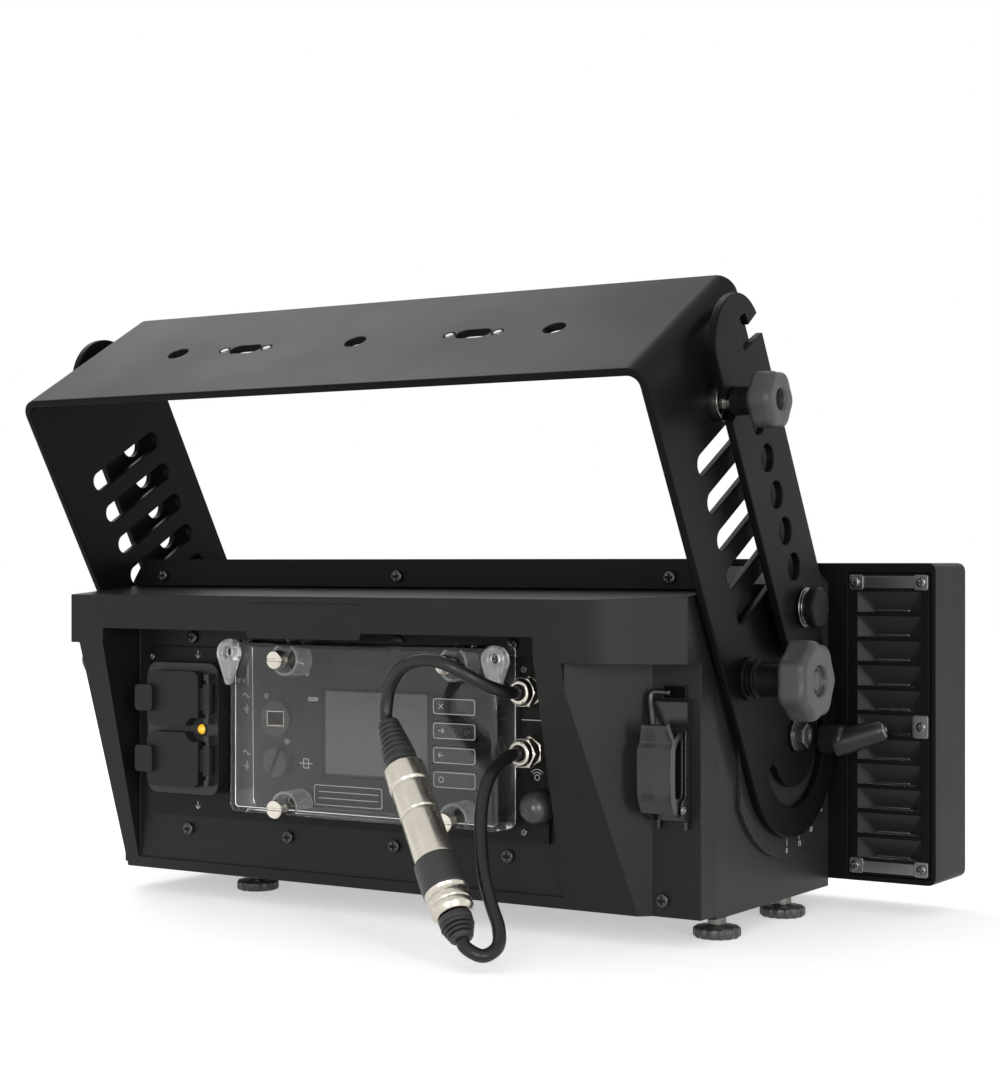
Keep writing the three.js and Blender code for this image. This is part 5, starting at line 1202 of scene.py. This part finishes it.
# Screen: grey display behind a thin black bezel, and four membrane keys, each with
# a printed frame, a sign and a small raised dome.
lcd = finish("display_grey", (0.050, 0.047, 0.044), 0.22, grain=(900.0, 0.000003),
             mottle=(12.0, 0.10), level=0.6, rough_swing=0.1)
dressed("screen", lcd, "screen_grey", 0.0004, 2)
(left, screen_y, low), (right, _, high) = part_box("screen")
bezel_wide = 0.0011
bezel = [box_loop(left + cut, right - cut, low + cut, high - cut, 0.0006, 3)
         for cut in (0, bezel_wide)]
sheet("screen_bezel", bezel, 0.0004, 0.0001, facing(screen_y, way=1), panel_black, "panel_black")
sign_half = 0.0013
key_signs = {
    "escape": lambda x, z: [([(x - sign_half, z - rise), (x + sign_half, z + rise)], False)
                            for rise in (sign_half, -sign_half)],
    "next": lambda x, z: arrow(x, z, 0.0034, 0),
    "previous": lambda x, z: arrow(x, z, 0.0034, 180),
    "enter": lambda x, z: [(ring_of(x, z, 0.0014, 20), True)],
}
key_rubber = finish("key_film", (0.0095, 0.0095, 0.0090), 0.42, grain=(1500.0, 0.00001),
                    mottle=(60.0, 0.1))
key_edge, sign_in, dome_in = 0.0007, 0.0052, 0.0050
for name, sign in key_signs.items():
    node = f"key_{name}"
    dressed(node, key_rubber, "panel_black", 0.0004, 3)
    (left, key_y, low), (right, _, high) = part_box(node)
    mid_z = (low + high) / 2
    lines = [(box_loop(left + key_edge, right - key_edge, low + key_edge, high - key_edge,
                       0.0013), True), *sign(left + sign_in, mid_z)]
    put(bars(f"{node}_print", lines, facing(key_y)), ink, body_of[node], "white_board")
    lathe(f"{node}_dome", [
        (tiny, -0.0002), (0.0024, -0.0002), (0.0022, 0.0002), (0.0012, 0.0005), (tiny, 0.0006)],
        0.0003, (right - dome_in, key_y, mid_z), rearward, key_rubber, body_of[node],
        "panel_black", sides=40, sharp=None)


# Cable glands: nickel plated, a hexagon against the panel, a hexagon nut with chamfered
# corners and a rounded mouth with a black sealing ring round the cord.
gland_rows = eased([
    (0.0036, 0.0), (0.0072, 0.0), (0.0080, 0.0006), (0.0080, 0.0038), (0.0073, 0.0044),
    (0.0064, 0.0046), (0.0062, 0.0056), (0.0064, 0.0066), (0.0073, 0.0068), (0.0080, 0.0074),
    (0.0080, 0.0106), (0.0073, 0.0112), (0.0066, 0.0114), (0.0064, 0.0126), (0.0058, 0.0140),
    (0.0050, 0.0146), (0.0040, 0.0146), (0.0037, 0.0140), (0.0036, 0.0110)], 0.0003)
gland_wide, gland_y = 0.0080, 0.0272
for name, z in gland_z.items():
    foot = (gland_x, gland_y - shift_y, z)
    gland = turned(
        f"cord_gland_{name}_turned", np.vstack([gland_rows, gland_rows[:1]]), foot, rearward, 72,
        wave=lambda a, r, h: np.where(
            (r > 0.0068) & (h < 0.0113), six_flats(a + np.where(h > 0.006, math.pi / 6, 0))
            * (gland_wide / np.maximum(r, gland_wide - 0.0001)), 1))
    put(sharpen(gland, 30), bright_nickel, "lamp", "nickel", f"cord_gland_{name}")
    lathe(f"cord_gland_{name}_seal", [
        (0.00305, 0.0100), (0.0037, 0.0100), (0.0037, 0.0138), (0.0035, 0.0143),
        (0.00305, 0.0141), (0.00305, 0.0100)], 0.0002, foot, rearward, jacket, "lamp",
        "black_rubber", sides=40, sharp=None)


# Aerial cap: soft black dome that closes the hole for an aerial, wider than the neck
# that it stands on.
cap_gloss = finish("cap_rubber", (0.032, 0.032, 0.030), 0.28, grain=(1500.0, 0.00001), level=0.6)
cap_angle = np.radians(np.linspace(0, 90, 16))
cap_radius, cap_base, cap_tall = 0.0084, 0.0050, 0.0100
cap_rows = np.vstack([
    eased([(tiny, 0.0), (0.0050, 0.0), (0.0050, 0.0026), (0.0080, 0.0026), (cap_radius, 0.0034),
           (cap_radius, cap_base)], 0.0003),
    np.stack([cap_radius * np.cos(cap_angle) + tiny, cap_base + cap_tall * np.sin(cap_angle)],
             1)[1:]])
cap = turned("aerial_cap_dome", cap_rows, (0.100, 0.0296 - shift_y, 0.0628), rearward, 56)
put(sharpen(cap), cap_gloss, "lamp", "black_rubber", "aerial_cap")


# Rear grilles: pressed steel sheets. Each louvre is a scoop pushed inwards, full width
# at its top and narrower at its lip, where a light grey bar is a painted highlight. Strips and tabs
# with screws hold the ends.
grille_left, grille_right = 0.1936, 0.2378
grille_low, grille_high = 0.0195, 0.1755
grille_y = 0.182 - shift_y
scoop_left, scoop_right = 0.1984, 0.2332
scoop_tall, scoop_deep, scoop_end = 0.0106, 0.0066, 0.0082
scoop_tops = 0.1662 - 0.01275 * np.arange(11)
across = np.linspace(0, 1, 27)
down = np.linspace(0, 1, 14)
# Light grey metal for the strips and tabs; laid on each louvre's lip it is a painted highlight.
strip_and_lip_highlight_grey = finish("strip_and_lip_highlight_grey", (0.20, 0.20, 0.20), 0.32, grain=(1500.0, 0.00001),
                    mottle=(40.0, 0.10), metal=1.0)


def scoop_sheet(top):
    """Depth of the scoop: the least of the slope down it and the slopes in from its ends."""
    d, a = np.meshgrid(down, across, indexing="ij")
    x = scoop_left + (scoop_right - scoop_left) * a
    slope = scoop_deep * d
    ends = scoop_deep * np.minimum(x - scoop_left, scoop_right - x) / scoop_end
    y = grille_y + 0.0002 + np.minimum(slope, ends)
    return np.stack([x, y, top - scoop_tall * d], -1).reshape(-1, 3)


lip_tall, lip_gauge = 0.0013, 0.0016
tab_wide, tab_tall, bracket = 0.0077, 0.0080, (0.2288, 0.2374, 0.0912, 0.1030)
tabs = [(left, left + tab_wide, low, low + tab_tall)
        for left in (grille_left + 0.0005, grille_right - 0.0082)
        for low in (grille_low + 0.0006, grille_high - 0.0086)]
strips = {"low": (grille_low + 0.0012, 0.0266), "high": (0.1679, grille_high - 0.0012)}
cells = np.array(grid_faces(len(down), len(across), closed=False, ends=False))
for side, name in both_sides:
    holes = [box_loop(scoop_left, scoop_right, top - scoop_tall, top, 0.0003, 2)
             for top in scoop_tops]
    rim = box_loop(grille_left, grille_right, grille_low, grille_high, 0.0008, 3)
    sheet(f"grille_sheet_{name}", [rim, *holes], 0.0012, 0.0003, facing(grille_y + 0.0006, side),
          coat, "black_coat", f"rear_grille_{name}")
    quads = np.vstack([cells + k * len(down) * len(across) for k in range(len(scoop_tops))])
    scoops = surface(f"grille_scoops_{name}",
                     np.vstack([scoop_sheet(top) * [side, 1, 1] for top in scoop_tops]), quads)
    gauge = scoops.modifiers.new("gauge", "SOLIDIFY")
    gauge.thickness = 0.0009
    gauge.offset = side
    # The scoops take the lighter coat copy: painted light.
    put(sharpen(scoops, 30), lit_side_coat, "lamp", "black_coat")
    # Painted highlight: a thin light grey bar along each lip stands in for the light that it
    # catches.
    for k, low in enumerate(scoop_tops - scoop_tall):
        sheet(f"grille_lip_highlight_{k}_{name}", [box_loop(scoop_left + scoop_end, scoop_right - scoop_end,
                                                  low, low + lip_tall, 0.0003, 2)],
              lip_gauge, 0.0004, facing(grille_y + scoop_deep - lip_gauge / 2, side),
              strip_and_lip_highlight_grey, "black_coat")
    for k, corners in enumerate([*tabs, bracket]):
        sheet(f"grille_tab_{k}_{name}", [box_loop(*corners, 0.0013, 3)], 0.0010, 0.0003,
              facing(grille_y - 0.0006, side), strip_and_lip_highlight_grey, "black_coat")
    cross_screws(f"grille_bracket_screw_{name}", [(side * 0.2336, grille_y - 0.0008, 0.0970)],
                 0.0026, 0.0014, screw_zinc)
    for kind, levels in strips.items():
        sheet(f"grille_strip_{kind}_{name}",
              [box_loop(grille_left + 0.0010, grille_right - 0.0010, *levels, 0.0006, 3)],
              0.0010, 0.0003, facing(grille_y + 0.0003, side), strip_and_lip_highlight_grey, "black_coat")


# Corner latch: a plate with a crowned top and side rails, a chunky pull lever with a beaked
# top and open sides, and a steel wire whose bar hooks into a slot of the hood.
latch_plastic = finish("latch_plastic", (0.0130, 0.0140, 0.0132), 0.27, grain=(1300.0, 0.00003),
                       mottle=(50.0, 0.12))
latch_mid = 0.1677
groove_from, groove_fade, end_round = 0.0975, 0.0085, 0.0006


def crowned(name, outline, half, crown, narrow, middle):
    """Bar swept along X: the (y, z) outline at stations whose edges are inset.

    The face stands out most in the middle, by crown, and above the groove the stations
    close in by the share narrow.
    """
    loop = np.asarray(outline, float)
    before, after = np.roll(loop, 1, axis=0), np.roll(loop, -1, axis=0)
    along = (after - before) / np.linalg.norm(after - before, axis=1)[:, None]
    out = np.stack([along[:, 1], -along[:, 0]], 1)
    station = np.array([-1, -0.985, -0.94, -0.5, -0.03, 0.03, 0.5, 0.94, 0.985, 1])
    inset = end_round * np.array([1, 0.3, 0, 0, 0, 0, 0, 0, 0.3, 1])
    points = loop[None] - inset[:, None, None] * out[None]
    points[..., 0] += crown * np.abs(station)[:, None]
    close = 1 - narrow * np.clip((points[..., 1] - groove_from) / groove_fade, 0, 1)
    x = middle + half * station[:, None] * close
    verts = np.stack([x, points[..., 0] - shift_y, points[..., 1]], -1)
    return righted(surface(name, verts.reshape(-1, 3), grid_faces(len(station), len(loop))))


def outline_mm(points, ease):
    """Closed outline from (y, z) points in millimetres, its corners eased."""
    return eased(np.array([*points, points[0]]) / 1000, ease)[:-1]


sheet("latch_base_plate", [box_loop(0.1608, 0.1764, 0.0600, 0.1040, 0.0008, 3)], 0.0022, 0.0004,
      facing(0.0334 - shift_y, way=1), latch_plastic, "black_plastic", "latch_base")
latch_head = crowned("latch_base_head", outline_mm([
    (31.4, 103.8), (31.0, 105.0), (31.0, 115.8), (31.8, 116.9), (34.4, 116.9), (34.4, 103.8)],
    0.0005), 0.0094, 0.0007, 0.0, 0.1685)
put(sharpen(latch_head), latch_plastic, "lamp", "black_plastic")
rail_loop = outline_mm([
    (34.4, 59.5), (34.4, 103.6), (30.6, 102.4), (29.8, 99.0), (29.8, 72.0), (26.4, 70.0),
    (25.2, 66.0), (26.4, 62.6), (30.0, 60.0)], 0.001)
base_mid, tab_half, tab_foot = 0.1686, 0.0009, 0.1690
for side, label in both_sides:
    sheet(f"latch_base_rail_{label}", [rail_loop], 0.0009, 0.0003,
          upright(side, 0.0086, base_mid, -shift_y), latch_plastic, "black_plastic")
    tab_x = tab_foot + side * 0.0072
    sheet(f"latch_base_tab_{label}",
          [box_loop(tab_x - tab_half, tab_x + tab_half, 0.0558, 0.0612, 0.0007, 3)],
          0.0020, 0.0004, facing(0.0330 - shift_y, way=1), latch_plastic, "black_plastic")
    lathe(f"latch_pin_head_{label}", [
        (tiny, -0.0010), (0.0022, -0.0010), (0.0022, 0.0), (0.0019, 0.0005), (0.0010, 0.0006),
        (0.0008, 0.0001), (tiny, 0.0001)], 0.0003,
        (base_mid + side * 0.0092, 0.0275 - shift_y, 0.066), (side, 0, 0), screw_zinc, "lamp",
        "dark_steel", sides=32, sharp=40)
slot_box = np.array([0.1640, 0.1752, 0.1176, 0.1232])
slot_lip = 0.0006 * np.array([-1, 1, -1, 1])
sheet("latch_slot_rim", [box_loop(*(slot_box + slot_lip), 0.0008, 3),
                         box_loop(*slot_box, 0.0005, 3)], 0.0008, 0.0002,
      facing(0.0342 - shift_y, way=1), moulded, "cast_black")
# Painted shade: a near black sheet on the slot's floor stands in for the shade inside the slot.
slot_painted_shade = finish("slot_painted_shade", (0.0012, 0.0012, 0.0012), 0.7, level=0.05)
sheet("latch_slot_shade_floor", [box_loop(*slot_box, 0.0004, 3)], 0.0003, 0.00005,
      facing(0.0344 - shift_y, way=1), slot_painted_shade, "cast_black")

lever_wall = outline_mm([
    (20.5, 64.4), (17.4, 70), (16.6, 74), (16.3, 84), (16.6, 94.6), (18.9, 97.6), (16.5, 104.8),
    (17.4, 106.2), (18.6, 106.2), (20.2, 98.4), (20.0, 95.0), (19.6, 84), (19.8, 73),
    (22.6, 66.4)], 0.0007)
face = crowned("latch_lever_face", lever_wall, 0.0089, 0.0009, 0.26, latch_mid)
put(sharpen(face), latch_plastic, "latch_lever_part", "black_plastic", "latch_lever")
cheek = outline_mm([
    (27.5, 62.6), (30.3, 64.2), (31.2, 67.0), (31.2, 100.6), (30.4, 102.8), (26.5, 102.2),
    (22.4, 99.6), (19.4, 95.8), (17.8, 91.0), (17.4, 84.0), (17.6, 74.0), (18.9, 69.0),
    (21.6, 64.8), (24.6, 62.8)], 0.0012)
window = outline_mm([
    (20.4, 74.0), (20.2, 82.0), (20.8, 89.0), (22.8, 94.4), (26.0, 98.4), (28.4, 99.2),
    (29.2, 97.0), (29.2, 73.4), (27.6, 71.4), (22.6, 71.6)], 0.0012)
for side, label in both_sides:
    sheet(f"latch_lever_cheek_{label}", [cheek, window], 0.0012, 0.0004,
          upright(side, 0.0079, latch_mid, -shift_y), latch_plastic, "black_plastic",
          body="latch_lever_part")
wire_mm = np.array([
    (163.0, 24.0, 90.0), (162.6, 26.2, 101.0), (160.6, 28.4, 110.0), (159.0, 30.0, 116.5),
    (159.2, 30.6, 119.6), (161.2, 30.8, 120.6), (164.0, 30.8, 120.6), (169.0, 30.8, 120.4)])
wire = tube("latch_wire", smooth_route(wire_mm / 1000 - [0, shift_y, 0], 8), 0.0014, 16,
            aside=(0, 1, 0))
put(wire, black_steel, "latch_bail_part", "dark_steel", "latch_bail")


# Light source: white board of emitters behind a bright cell grid, closed by a clear
# front glass. Only the front view shows it.
board_white = finish("board_white", (0.62, 0.62, 0.60), 0.45, grain=(1200.0, 0.00001))
dressed("emitter_board", board_white, "white_board", 0)
grid_bright = finish("grid_bright", (0.78, 0.78, 0.77), 0.12, grain=(2000.0, 0.000004),
                     mottle=(60.0, 0.04), metal=1.0)
dressed("reflector_grid", grid_bright, "nickel", 0)
front_glass = finish("front_glass", (0.96, 0.97, 0.97), 0.01, grain=(300.0, 0.000002),
                     mottle=(20.0, 0.005), more={"Transmission Weight": 1.0, "IOR": 1.45})
dressed("front_window", front_glass, "clear_plastic", 0)
